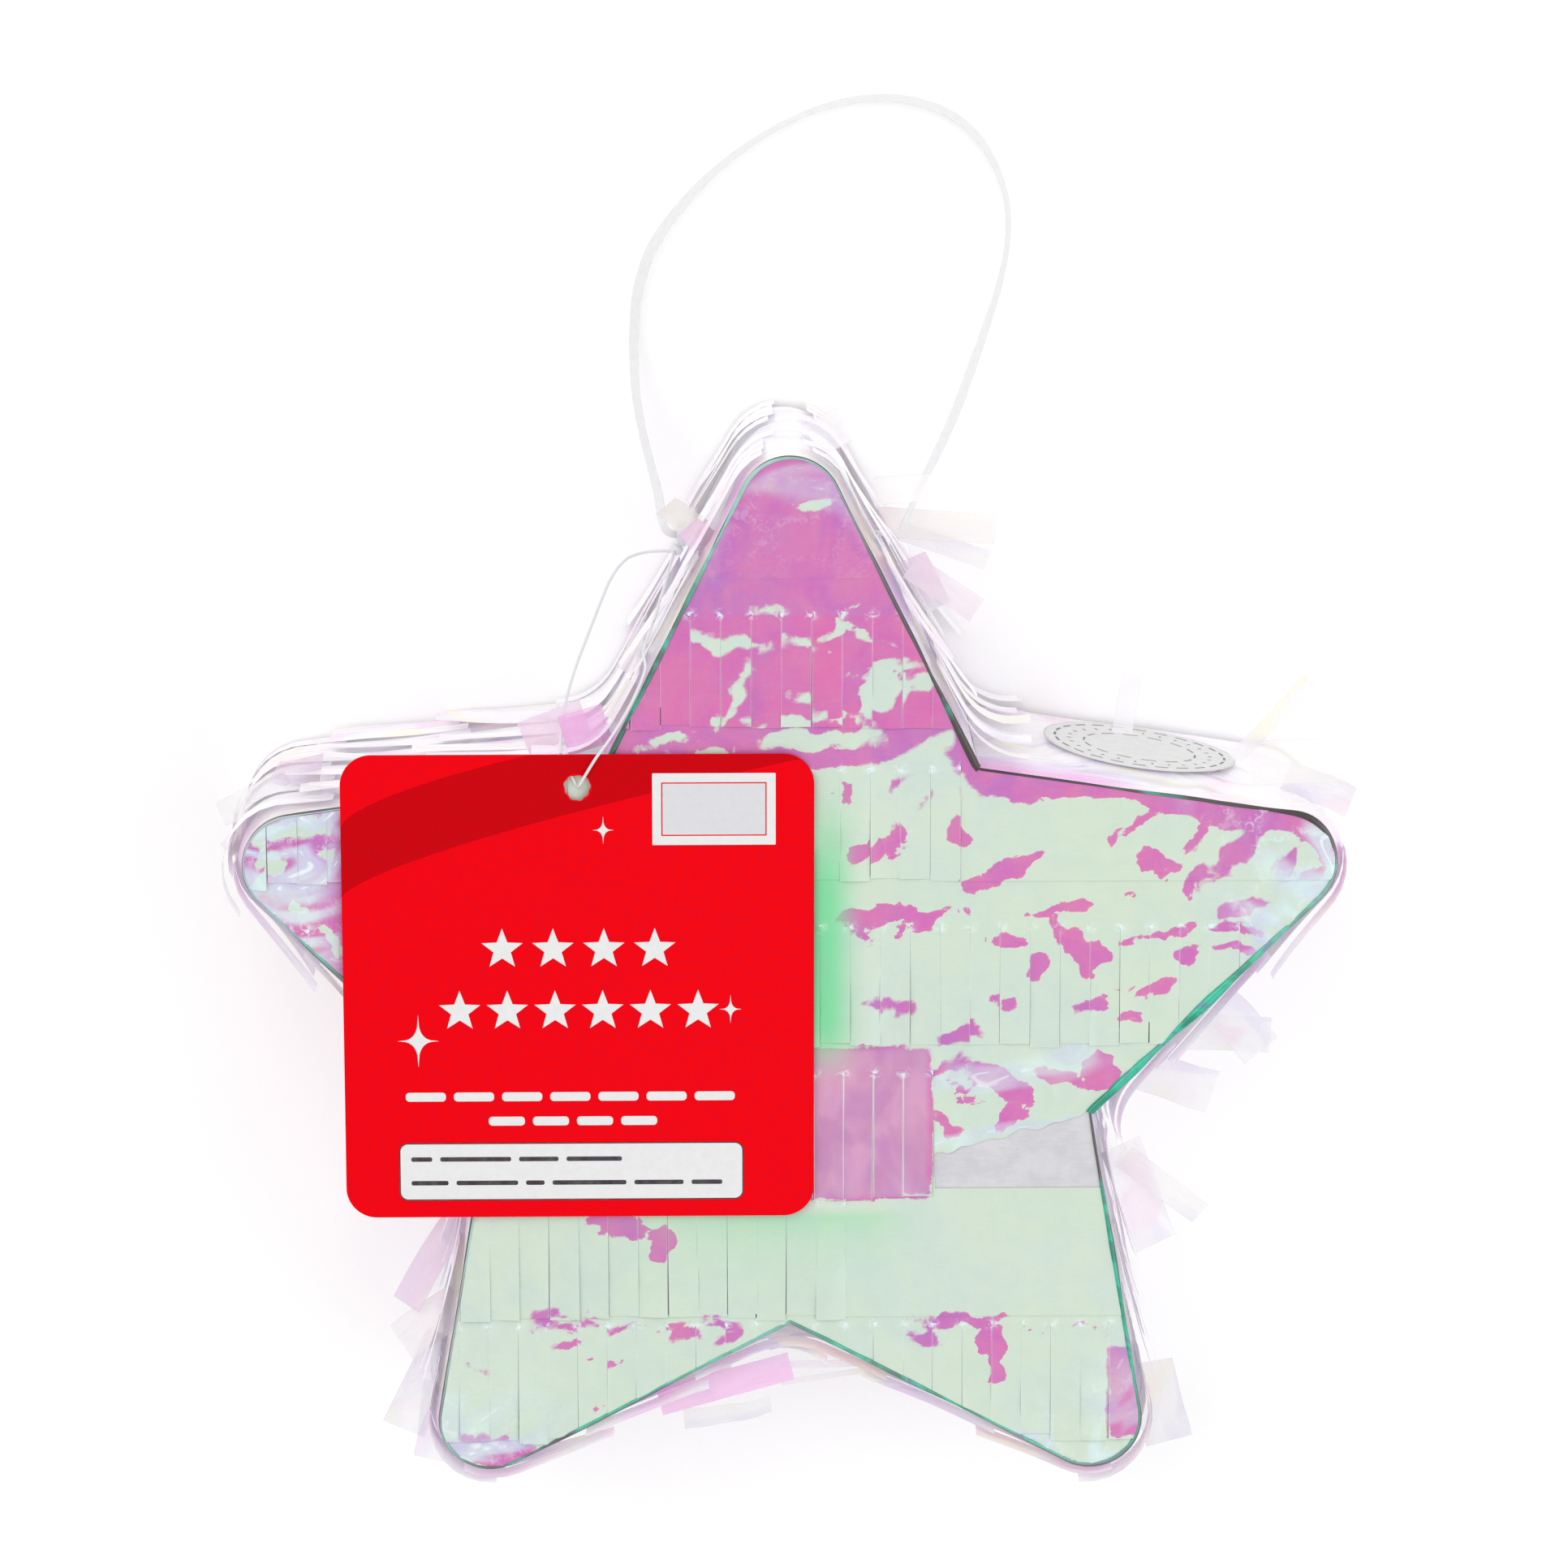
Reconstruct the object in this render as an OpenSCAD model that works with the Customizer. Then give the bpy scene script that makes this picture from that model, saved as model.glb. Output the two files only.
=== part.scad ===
// Hanging star pinata: a hollow five-pointed card box dressed in bands of thin
// iridescent film, with a ribbon loop, a hang tag and a filling flap.
// It lies on its back: +Z is the face's normal and +Y runs to the top point.

/* [Star] */
// Distance from the centre to each sharp point, before it is rounded
star_r = 102; // [90:0.5:125]
// Distance from the centre to each inner corner
inner_r = 51; // [42:0.5:56]
// Radius that rounds each point of the card
tip_r = 8; // [4:0.5:10]
// Depth of the whole star, over its film
depth = 50; // [35:0.5:70]

/* [Card] */
// Thickness of the front and back panels
panel_t = 1.4; // [0.8:0.1:3]
// Thickness of the folded wall strips
wall_t = 1.4; // [0.8:0.1:3]
// Thickness of the gummed paper tape inside each inner corner
tape_t = 0.3; // [0.2:0.05:0.6]
// Length of the tape along each of the two walls that it joins
tape_leg = 10; // [6:0.5:20]
// Gap that the tape keeps to each panel
tape_inset = 3; // [1:0.5:8]

/* [Film] */
// Thickness of the film bands on the front and the back
face_film_t = 0.2; // [0.1:0.05:0.4]
// Thickness of the fluffed fringe round the edge
fringe_t = 2; // [1:0.1:4]
// Height of the edge fringe's hem above the ground
fringe_lift = 0.5; // [0.3:0.1:2]
// Distance from the sharp top point down to the first seam between bands
first_seam_drop = 29; // [15:0.5:40]
// Height of one band of film
row_pitch = 25; // [15:0.5:40]

/* [Filling flap] */
// Diameter of the filling hole in the wall
fill_hole_d = 28.6; // [20:0.1:35]
// Distance along the wall from the inner corner to the hole's centre
fill_at = 28; // [20:0.5:36]
// Gap round the flap in its hole
flap_gap = 0.3; // [0.2:0.05:0.6]
// How far the round sticker reaches past the edge of the hole
sticker_lap = 1.7; // [1:0.1:4]
// Thickness of the sticker
sticker_t = 0.2; // [0.1:0.05:0.4]

/* [Ribbon] */
// Width of the hanging ribbon
ribbon_d = 3; // [2.4:0.1:3.2]
// Distance from the sharp top point down to the ribbon's holes
ribbon_drop = 26.5; // [24:0.5:32]
// Diameter of the ribbon's holes
ribbon_hole_d = 4; // [3.6:0.1:6]
// Diameter of the knots inside the walls
knot_d = 5.6; // [4.6:0.1:6]

/* [Tag] */
// Width of the hang tag
tag_w = 76; // [50:1:90]
// Height of the hang tag
tag_h = 77; // [50:1:90]
// Thickness of the tag's card
tag_t = 0.4; // [0.3:0.05:0.4]
// Radius of the tag's corners
tag_r = 5; // [2:0.5:10]
// Diameter of the tag's hole
tag_hole_d = 4.2; // [3:0.1:6]
// Distance from the tag's top edge down to its hole's centre
tag_hole_drop = 5.4; // [4:0.1:8]
// Height of the tag above the front film, which the thread under it fills
tag_gap = 0.7; // [0.6:0.05:0.8]
// Diameter of the tag's thread
thread_d = 0.5; // [0.3:0.05:0.5]

/* [Hidden] */
points = 5;
arm_step = 360 / points;
half_step = arm_step / 2;
tip_steps = 10;
smooth = 64;
eps = 0.01;

// Half of each point's angle, and the lean of a wall from its inner corner's radius
tip_half = atan2(inner_r * sin(half_step), star_r - inner_r * cos(half_step));
corner_lean = half_step + tip_half;
// Distance from the centre to the middle of each point's rounding
tip_c = star_r - tip_r / sin(tip_half);
// Length of the flat part of a wall, from the inner corner to the rounding
flank_len = norm([star_r - inner_r * cos(half_step), inner_r * sin(half_step)])
    - tip_r / tan(tip_half);

// The star's centre sits where the middle of the dressed outline falls on the origin
top_y = tip_c + tip_r + fringe_t;
low_y = -(tip_c * cos(half_step) + tip_r + fringe_t);
centre_y = -(top_y + low_y) / 2;

panel_z = face_film_t;
wall_z = panel_z + panel_t;
wall_h = depth - 2 * wall_z;

seam_y = star_r - first_seam_drop;
row_n = 1 + ceil((seam_y - low_y - fringe_t) / row_pitch);

flap_d = fill_hole_d - 2 * flap_gap;
sticker_d = fill_hole_d + 2 * sticker_lap;
fill_arm = 4;
fill_side = 1;

ribbon_y = star_r - ribbon_drop;
ribbon_z = depth / 2;
// Distances out from the middle to the wall's inner and the fringe's outer skin,
// level with the ribbon's holes
inner_x = ribbon_drop * tan(tip_half) - wall_t / cos(tip_half);
outer_x = ribbon_drop * tan(tip_half) + fringe_t / cos(tip_half);
knot_gap = 0.3;
knot_x = inner_x - (knot_d / 2 + knot_gap) / cos(tip_half);
knot_flat = 2;
hitch_gap = 0.15;
hitch_d = ribbon_d + 2 * hitch_gap + 2 * thread_d;
hitch_w = 3 * thread_d;
hitch_x = outer_x + hitch_d / 2 * tan(tip_half) + 0.2;
bead_d = 4 * thread_d;

// The tag's hole, where the thread holds it
tag_hole_x = -34.2;
tag_hole_y = 30.9;
tag_z = depth + tag_gap;

// The ribbon leaves the left knot, comes out of its hole, runs down to the ground and
// round beyond the top point, and goes back into the right hole to its knot.
ribbon_route = [
    [-10.1, 67.5, 25], [-14, 67.5, 25], [-19, 67.5, 25], [-20.4, 69.6, 22.6],
    [-21.2, 73.4, 18.6], [-22.5, 77.8, 14.2], [-23.8, 82.6, 9.8], [-24.7, 87.8, 6.2],
    [-25, 93, 3.6], [-24.9, 98.6, 2], [-24.2, 104.5, 1.5], [-22, 111, 1.5],
    [-18, 117, 1.5], [-12.5, 123, 1.5], [-6, 128.2, 1.5], [0.5, 132, 1.5],
    [7, 134.6, 1.5], [13.5, 135.8, 1.5], [20, 135.6, 1.5], [26.5, 133.6, 1.5],
    [31.5, 129.8, 1.5], [35, 124.3, 1.5], [36.8, 118.2, 1.5], [36.9, 112, 1.5],
    [35.7, 105.3, 1.5], [33.6, 98.5, 2], [31, 91.4, 3.8], [28.2, 84.6, 7.4],
    [25, 78.6, 12.2], [21.8, 73.4, 17.4], [19.6, 69.6, 22.4], [17.8, 67.5, 25],
    [14, 67.5, 25], [10.1, 67.5, 25]];

// The thread leaves its hitch on the ribbon, sags past the wall, rises over the face's
// edge and up through the tag's hole, then runs back over the tag to the hitch.
thread_route = [
    [-18.6, 64.4, 24.4], [-20.4, 64.3, 23.4], [-23.4, 63.9, 22.6], [-26.4, 62.8, 22.8],
    [-28.8, 60, 24.2], [-30.6, 56.2, 26.4], [-32.6, 51.6, 29.6], [-34.5, 47.2, 33.4],
    [-35.9, 43.2, 37.8], [-36.6, 40, 42.4], [-36.9, 37.6, 46.6], [-36.8, 36, 49.4],
    [-36.2, 34.7, 50.3], [-35.3, 33, 50.38], [-34.6, 31.7, 50.46], [-34.2, 30.9, 50.9],
    [-33.9, 31.3, 51.45], [-32.9, 33, 51.6], [-31.2, 35.8, 51.7], [-28.9, 39, 51.7],
    [-26.6, 42.7, 51.7], [-24.6, 46.6, 51.6], [-23.2, 50.4, 51.5], [-23.5, 52.6, 50.8],
    [-23.2, 54, 49], [-22.3, 55.8, 45.6], [-21, 58.7, 40], [-19.8, 61.5, 33.6],
    [-18.8, 63.9, 27], [-18.4, 64.6, 25.7]];

WALLS = [for (k = [1:points]) str("wall_", k)];
TAPES = [for (k = [1:points]) str("corner_tape_", k)];
FRONTS = [for (k = [1:row_n]) str("front_film_", k)];
BACKS = [for (k = [1:row_n]) str("back_film_", k)];
FLANKS = [for (k = [1:2 * points]) str("edge_fringe_", k)];
TIPS = [for (k = [1:points]) str("tip_fringe_", k)];

// ---- Outline of the star ----

function arm_angle(k) = 90 + arm_step * k;
function turned(p, a) = [p.x * cos(a) - p.y * sin(a), p.x * sin(a) + p.y * cos(a)];

// The inner corner beside an arm that lies along +X, with the outline moved in by d
function corner(d, side) =
    (inner_r - d / sin(corner_lean)) * [cos(half_step), side * sin(half_step)];

// The rounded point of an arm along +X, with the outline moved in by d
function tip_arc(d) = [for (i = [0:tip_steps])
    let (a = (90 - tip_half) * (2 * i / tip_steps - 1))
    [tip_c + (tip_r - d) * cos(a), (tip_r - d) * sin(a)]];

// One arm from inner corner to inner corner
function arm_path(d) = concat([corner(d, -1)], tip_arc(d), [corner(d, 1)]);

// The whole outline, which takes each shared inner corner once
function star_path(d) = [for (k = [0:points - 1])
    for (i = [0:tip_steps + 1]) turned(arm_path(d)[i], arm_angle(k))];

function backwards(list) = [for (i = [len(list) - 1:-1:0]) list[i]];

module centred() { translate([0, centre_y, 0]) children(); }

module slab(points_xy, z, h) { translate([0, 0, z]) linear_extrude(h) polygon(points_xy); }

// Moves its children onto a wall: +X runs from the inner corner to the point, and +Y
// out of the wall
module on_wall(arm, side) {
    rotate(arm_angle(arm)) mirror([0, side < 0 ? 1 : 0, 0])
        translate(corner(0, 1)) rotate(-tip_half) children();
}

// A round disc or hole through a wall, from the depth n0 to n1 measured outwards
module wall_disc(d, n0, n1) {
    on_wall(fill_arm, fill_side) translate([fill_at, n0, depth / 2])
        rotate([-90, 0, 0]) cylinder(d = d, h = n1 - n0, $fn = smooth);
}

// The straight way of the ribbon's holes through both walls of the top arm
module ribbon_way() {
    translate([0, ribbon_y, ribbon_z]) rotate([0, 90, 0])
        cylinder(d = ribbon_hole_d, h = 2 * star_r, center = true, $fn = smooth);
}

// ---- Card ----

module front_panel() {
    color("lightgray") centred() slab(star_path(0), depth - wall_z, panel_t);
}

module back_panel() { color("lightgray") centred() slab(star_path(0), panel_z, panel_t); }

// A strip of card that is folded round one point of the star
module wall_strip(k) {
    strip = concat(arm_path(0), backwards(arm_path(wall_t)));
    color("gainsboro") centred() difference() {
        slab([for (p = strip) turned(p, arm_angle(k))], wall_z, wall_h);
        if (k == 0) ribbon_way();
        if (k == fill_arm) wall_disc(fill_hole_d, -2 * wall_t, wall_t);
    }
}

// A bent piece of tape inside the inner corner after arm k
module corner_tape(k) {
    bend = function (d) [inner_r - d / sin(corner_lean), 0];
    leg = [cos(corner_lean), sin(corner_lean)];
    inwards = [-leg.y, leg.x];
    outer_end = bend(wall_t) + tape_leg * leg;
    inner_end = outer_end + tape_t * inwards;
    half = [outer_end, bend(wall_t)];
    other = [for (p = half) [p.x, -p.y]];
    inside = [[inner_end.x, -inner_end.y], bend(wall_t + tape_t), inner_end];
    color("burlywood") centred() rotate(arm_angle(k) + half_step)
        slab(concat(half, [other[0]], inside), wall_z + tape_inset, wall_h - 2 * tape_inset);
}

// ---- Film ----

// One band of film across the face, from seam to seam
module film_row(k, z) {
    top = k == 1 ? top_y + eps : seam_y - (k - 2) * row_pitch;
    low = k == row_n ? low_y - eps : seam_y - (k - 1) * row_pitch;
    color(k % 2 == 0 ? "orchid" : "honeydew") centred() intersection() {
        slab(star_path(0), z, face_film_t);
        translate([-star_r, low, z - 1]) cube([2 * star_r, top - low, face_film_t + 2]);
    }
}

// The fluffed fringe on the flat part of one wall
module flank_fringe(arm, side) {
    color("lavenderblush") centred() difference() {
        on_wall(arm, side) translate([0, 0, fringe_lift]) linear_extrude(depth - fringe_lift)
            polygon([[0, 0], [flank_len, 0], [flank_len, fringe_t],
                     [fringe_t / tan(corner_lean), fringe_t]]);
        if (arm == 0) ribbon_way();
        if (arm == fill_arm && side == fill_side) wall_disc(fill_hole_d, -wall_t, 2 * fringe_t);
    }
}

// The fringe round one point
module point_fringe(k) {
    ring = concat(tip_arc(-fringe_t), backwards(tip_arc(0)));
    color("lavenderblush") centred()
        slab([for (p = ring) turned(p, arm_angle(k))], fringe_lift, depth - fringe_lift);
}

// ---- Filling flap ----

module fill_flap() { color("gainsboro") centred() wall_disc(flap_d, -wall_t, 0); }

module fill_film() { color("lavenderblush") centred() wall_disc(flap_d, 0, fringe_t); }

module fill_sticker() {
    color("white") centred() wall_disc(sticker_d, fringe_t, fringe_t + sticker_t);
}

// ---- Ribbon, thread and tag ----

// A round tube swept along a route, with a ring of corners at each of its points
function unit(v) = v / norm(v);
function heading(p, i) = unit(p[min(i + 1, len(p) - 1)] - p[max(i - 1, 0)]);
function ring_at(p, i, d, ref, sides) =
    let (t = heading(p, i), u = unit(cross(t, ref)), v = cross(t, u))
    [for (s = [0:sides - 1])
        p[i] + d / 2 * (cos(360 * s / sides) * u + sin(360 * s / sides) * v)];

module swept_tube(route, d, ref, sides = 8) {
    last = len(route) - 1;
    rings = [for (i = [0:last]) each ring_at(route, i, d, ref, sides)];
    skin = [for (i = [0:last - 1]) for (s = [0:sides - 1])
        let (a = i * sides + s, b = i * sides + (s + 1) % sides)
        [a, a + sides, b + sides, b]];
    polyhedron(rings, concat(skin, [[for (s = [0:sides - 1]) s]],
        [[for (s = [sides - 1:-1:0]) last * sides + s]]));
}

module hanging_ribbon() { color("white") swept_tube(ribbon_route, ribbon_d, [0, 0, 1]); }

module tag_thread() { color("white") swept_tube(thread_route, thread_d, [0.8, -0.6, 0]); }

// A knot, with a flat where the ribbon leaves it towards its wall
module ribbon_knot(side) {
    color("white") centred() translate([side * knot_x, ribbon_y, ribbon_z])
        rotate([0, side * 90, 0]) intersection() {
            sphere(d = knot_d, $fn = 32);
            translate([0, 0, knot_flat - knot_d]) cylinder(d = 2 * knot_d, h = knot_d, $fn = 32);
        }
}

// The turns of thread round the ribbon, and the bead of the thread's own knot
module thread_hitch() {
    color("white") centred() translate([-hitch_x, ribbon_y, ribbon_z]) rotate([0, -90, 0])
        difference() {
            union() {
                cylinder(d = hitch_d, h = hitch_w, $fn = 32);
                translate([0, -(hitch_d + bead_d) / 2 + thread_d, hitch_w])
                    sphere(d = bead_d, $fn = 24);
            }
            translate([0, 0, -1])
                cylinder(d = ribbon_d + 2 * hitch_gap, h = hitch_w + 2, $fn = 32);
        }
}

module hang_tag() {
    left = tag_hole_x - tag_w / 2;
    low = tag_hole_y + tag_hole_drop - tag_h;
    color("crimson") difference() {
        union() {
            translate([left + tag_r, low, tag_z]) cube([tag_w - 2 * tag_r, tag_h, tag_t]);
            translate([left, low + tag_r, tag_z]) cube([tag_w, tag_h - 2 * tag_r, tag_t]);
            for (x = [left + tag_r, left + tag_w - tag_r]) for (y = [low + tag_r, low + tag_h - tag_r])
                translate([x, y, tag_z]) cylinder(r = tag_r, h = tag_t, $fn = smooth);
        }
        translate([tag_hole_x, tag_hole_y, tag_z - 1]) cylinder(d = tag_hole_d, h = tag_t + 2, $fn = smooth);
    }
}

// ---- Nodes ----

front_panel();
back_panel();
for (k = [1:points]) {
    wall_strip(k - 1);
    corner_tape(k - 1);
    point_fringe(k - 1);
    flank_fringe(k - 1, -1);
    flank_fringe(k - 1, 1);
}
for (k = [1:row_n]) {
    film_row(k, depth - face_film_t);
    film_row(k, 0);
}
fill_flap();
fill_film();
fill_sticker();
hanging_ribbon();
ribbon_knot(-1);  // ribbon_knot_left
ribbon_knot(1);  // ribbon_knot_right
thread_hitch();
tag_thread();
hang_tag();
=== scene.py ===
import math

import bmesh
import bpy
import numpy as np
from bpy.props import FloatProperty, FloatVectorProperty, IntProperty, PointerProperty
from mathutils import Matrix, Vector


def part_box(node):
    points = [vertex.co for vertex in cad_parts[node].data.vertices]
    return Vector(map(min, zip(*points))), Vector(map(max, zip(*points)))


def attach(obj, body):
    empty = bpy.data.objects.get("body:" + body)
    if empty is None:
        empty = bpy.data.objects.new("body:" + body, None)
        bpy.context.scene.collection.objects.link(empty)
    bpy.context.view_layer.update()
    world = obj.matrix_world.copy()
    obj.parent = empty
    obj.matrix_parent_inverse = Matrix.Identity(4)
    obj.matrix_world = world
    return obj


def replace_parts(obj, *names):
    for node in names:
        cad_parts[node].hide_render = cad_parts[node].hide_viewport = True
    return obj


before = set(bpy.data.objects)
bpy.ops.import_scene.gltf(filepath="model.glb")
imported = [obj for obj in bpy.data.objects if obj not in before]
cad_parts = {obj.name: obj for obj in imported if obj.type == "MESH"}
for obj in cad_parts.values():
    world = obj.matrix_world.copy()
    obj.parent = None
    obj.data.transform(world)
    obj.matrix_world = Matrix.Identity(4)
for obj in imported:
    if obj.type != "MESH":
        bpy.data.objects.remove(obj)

bl_info = {
    "name": "Star pinata",
    "version": (1, 0, 0),
    "blender": (4, 5, 0),
    "location": "View3D > Sidebar > Pinata",
    "description": "A star pinata dressed in iridescent film, with its ribbon and tag",
    "category": "Add Mesh",
}

MM = 0.001
POINTS = 5
HALF_STEP = math.pi / POINTS  # half the angle from one point to the next
WAVES = 14  # sines in a field of ripples
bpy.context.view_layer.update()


# ---- What a user would change ----

class StarSizes(bpy.types.PropertyGroup):
    """The star's sizes, as in the CAD source"""
    star_r: FloatProperty(name="Point radius", description="Centre to a point, before rounding, in mm",
                          default=102.0)
    inner_r: FloatProperty(name="Inner corner radius", description="Centre to an inner corner, in mm",
                           default=51.0)
    tip_r: FloatProperty(name="Point rounding", description="Radius of each point, in mm", default=8.0)
    depth: FloatProperty(name="Depth", description="Front film to back film, in mm", default=50.0)
    centre_y: FloatProperty(name="Star centre", description="Place of the star's centre along Y, in mm",
                            default=-8.014)


class FilmFinish(bpy.types.PropertyGroup):
    """The slit film on the front and the back"""
    strip: FloatProperty(name="Strip width", description="Width of a slit strip, in mm", default=4.85)
    gap: FloatProperty(name="Slit width", description="Gap between two strips, in mm", default=0.0)
    lift: FloatProperty(name="Strip lift", description="How far a strip's end stands off, in mm",
                        default=0.26)
    cell: FloatProperty(name="Cell", description="Size of the film's mesh cells, in mm", default=0.6)
    mint: FloatVectorProperty(name="Mint", description="Film seen over bare card", subtype="COLOR",
                              size=4, default=(0.63, 0.755, 0.63, 1.0))
    # magenta stands for the film's painted reflection; mint is the film without it
    magenta: FloatVectorProperty(name="Magenta", description="Film that lies tight on the card",
                                 subtype="COLOR", size=4, default=(0.67, 0.135, 0.47, 1.0))
    emerald: FloatVectorProperty(name="Emerald", description="Film in the tag's shade",
                                 subtype="COLOR", size=4, default=(0.09, 0.72, 0.28, 1.0))


class FringeFinish(bpy.types.PropertyGroup):
    """The film round the walls"""
    pitch: FloatProperty(name="Band pitch", description="Distance between two bands, in mm", default=20.0)
    length: FloatProperty(name="Strip length", description="Length of a fringe strip, in mm", default=24.0)
    strips: IntProperty(name="Strips", description="Strips across the depth", default=10)
    lift: FloatProperty(name="Lift", description="How far the strips' ends stand off, in mm", default=2.2)
    fillet: FloatProperty(name="Bridge", description="Radius of the film across an inner corner, in mm",
                          default=14.0)
    clear: FloatVectorProperty(name="Clear film", description="Colour of the film on the walls",
                               subtype="COLOR", size=4, default=(0.92, 0.905, 0.935, 1.0))


class TagFinish(bpy.types.PropertyGroup):
    """The hang tag"""
    corner: FloatProperty(name="Corner", description="Radius of the tag's corners, in mm", default=5.0)
    hole: FloatProperty(name="Hole", description="Diameter of the tag's hole, in mm", default=4.2)
    red: FloatVectorProperty(name="Red", description="The tag's red", subtype="COLOR", size=4,
                             default=(0.88, 0.0, 0.004, 1.0))
    ink: FloatProperty(name="Ink height", description="Height of the printed shapes, in mm", default=0.03)


class StageSetup(bpy.types.PropertyGroup):
    """Camera and light"""
    lens: FloatProperty(name="Lens", description="Focal length on a 36 mm sensor, in mm", default=135.07)
    eye: FloatVectorProperty(name="Eye", description="Where the camera stands", subtype="XYZ",
                             default=(-0.01869, 0.23860, 0.97074))
    aim: FloatVectorProperty(name="Aim", description="What the camera looks at", subtype="XYZ",
                             default=(-0.00104, 0.03111, 0.050))
    sky: FloatProperty(name="Sky", description="Strength of the studio's white surround", default=0.66)


class PinataSettings(bpy.types.PropertyGroup):
    """Everything that a user would change, kept on the scene"""
    star: PointerProperty(type=StarSizes)
    film: PointerProperty(type=FilmFinish)
    fringe: PointerProperty(type=FringeFinish)
    tag: PointerProperty(type=TagFinish)
    stage: PointerProperty(type=StageSetup)


def settings():
    """The scene's own settings of the pinata."""
    return bpy.context.scene.pinata


# ---- Surfaces ----

def grid_quads(rows, cols, loop_rows=False, loop_cols=False, first=0):
    """Quads of a rows by cols grid of points, closed round either way when asked."""
    r, c = np.meshgrid(np.arange(rows if loop_rows else rows - 1),
                       np.arange(cols if loop_cols else cols - 1), indexing="ij")
    r2, c2 = (r + 1) % rows, (c + 1) % cols
    quads = np.stack([r * cols + c, r * cols + c2, r2 * cols + c2, r2 * cols + c], -1)
    return quads.reshape(-1, 4) + first


def new_piece(name, points, quads, material, body, slot, values=None, weld=0.0, smooth=True,
              closed=False):
    """A mesh piece from points in mm and quads. values are named numbers or triples on its points."""
    used, quads = np.unique(quads, return_inverse=True)
    quads = quads.reshape(-1, 4)
    points = np.asarray(points, float).reshape(-1, 3)[used]
    mesh = bpy.data.meshes.new(name)
    mesh.from_pydata((points * MM).tolist(), [], quads.tolist())
    for key, v in (values or {}).items():
        v = np.asarray(v, float)
        if v.ndim > 1 and v.shape[-1] == 3:
            mesh.attributes.new(key, "FLOAT_VECTOR", "POINT").data.foreach_set(
                "vector", v.reshape(-1, 3)[used].ravel())
        else:
            mesh.attributes.new(key, "FLOAT", "POINT").data.foreach_set("value", v.ravel()[used])
    if weld or closed:
        bm = bmesh.new()
        bm.from_mesh(mesh)
        if weld:
            bmesh.ops.remove_doubles(bm, verts=bm.verts, dist=weld * MM)
        if closed:
            bmesh.ops.recalc_face_normals(bm, faces=bm.faces)
        bm.to_mesh(mesh)
        bm.free()
    mesh.validate()
    mesh.polygons.foreach_set("use_smooth", np.full(len(mesh.polygons), smooth))
    mesh.materials.append(material)
    mesh.update()
    piece = bpy.data.objects.new(name, mesh)
    bpy.context.scene.collection.objects.link(piece)
    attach(piece, body)
    return piece


class Parts:
    """Collects grids of points into one mesh."""

    def __init__(self):
        self.points, self.quads, self.values, self.count = [], [], {}, 0

    def add(self, points, quads, **values):
        points = np.asarray(points, float).reshape(-1, 3)
        self.points.append(points)
        self.quads.append(quads + self.count)
        for key, v in values.items():
            self.values.setdefault(key, []).append(np.broadcast_to(v, (len(points),)) if np.ndim(v) < 2
                                                   else np.asarray(v).reshape(-1, 3))
        self.count += len(points)

    def piece(self, name, material, body, slot, **more):
        values = {k: np.concatenate(v) for k, v in self.values.items()}
        return new_piece(name, np.concatenate(self.points), np.concatenate(self.quads), material,
                         body, slot, values, **more)


def ripples(x, y, seed, shortest, longest):
    """Smooth uneven field from about -1 to 1: a sum of sines, each with its own heading and length."""
    rng = np.random.default_rng(seed)
    out = np.zeros(np.broadcast(x, y).shape)
    for _ in range(WAVES):
        a = rng.uniform(0, 2 * math.pi)
        k = 2 * math.pi / rng.uniform(shortest, longest)
        out = out + np.sin(k * (x * math.cos(a) + y * math.sin(a)) + rng.uniform(0, 2 * math.pi))
    return out / math.sqrt(WAVES)


def creases(x, y, seed, shortest, longest):
    """Sharp folds from 0 to 1: one minus the size of a smooth field, cubed."""
    return np.clip(1 - np.abs(ripples(x, y, seed, shortest, longest)), 0, 1) ** 3


def ease(lo, hi, x):
    """0 below lo, 1 above hi and smooth between them."""
    t = np.clip((x - lo) / (hi - lo), 0, 1)
    return t * t * (3 - 2 * t)


def circle(count):
    """Evenly spaced angles once round, from 0."""
    return np.linspace(0, 2 * math.pi, count, endpoint=False)


def polar(r, a):
    """Points on a plane at the distance r and the angle a."""
    return np.stack([r * np.cos(a), r * np.sin(a)], -1)


def distances(path):
    """How far along a path each of its points lies."""
    return np.concatenate([[0], np.cumsum(np.linalg.norm(np.diff(path, axis=0), axis=1))])


def along_curve(points, step):
    """A smooth curve through the points (Catmull-Rom), as evenly spaced points."""
    p = np.asarray(points, float)
    p = np.vstack([2 * p[0] - p[1], p, 2 * p[-1] - p[-2]])
    t = np.linspace(0, 1, 16, endpoint=False)[:, None, None]
    a, b, c, d = p[:-3], p[1:-2], p[2:-1], p[3:]
    q = 0.5 * (2 * b + (c - a) * t + (2 * a - 5 * b + 4 * c - d) * t ** 2
               + (3 * b - 3 * c + d - a) * t ** 3)
    q = np.vstack([q.transpose(1, 0, 2).reshape(-1, 3), p[-2]])
    s = distances(q)
    even = np.linspace(0, s[-1], max(8, int(s[-1] / step)))
    return np.stack([np.interp(even, s, q[:, i]) for i in range(3)], -1)


def sweep(path, profile, across):
    """A profile of (sideways, upwards) pairs carried along a path, its first axis turned to `across`."""
    t = np.gradient(path, axis=0)
    t /= np.linalg.norm(t, axis=1, keepdims=True)
    u = across - (across * t).sum(1, keepdims=True) * t
    u /= np.linalg.norm(u, axis=1, keepdims=True)
    v = np.cross(t, u)
    return path[:, None] + profile[None, :, :1] * u[:, None] + profile[None, :, 1:] * v[:, None]


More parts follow.
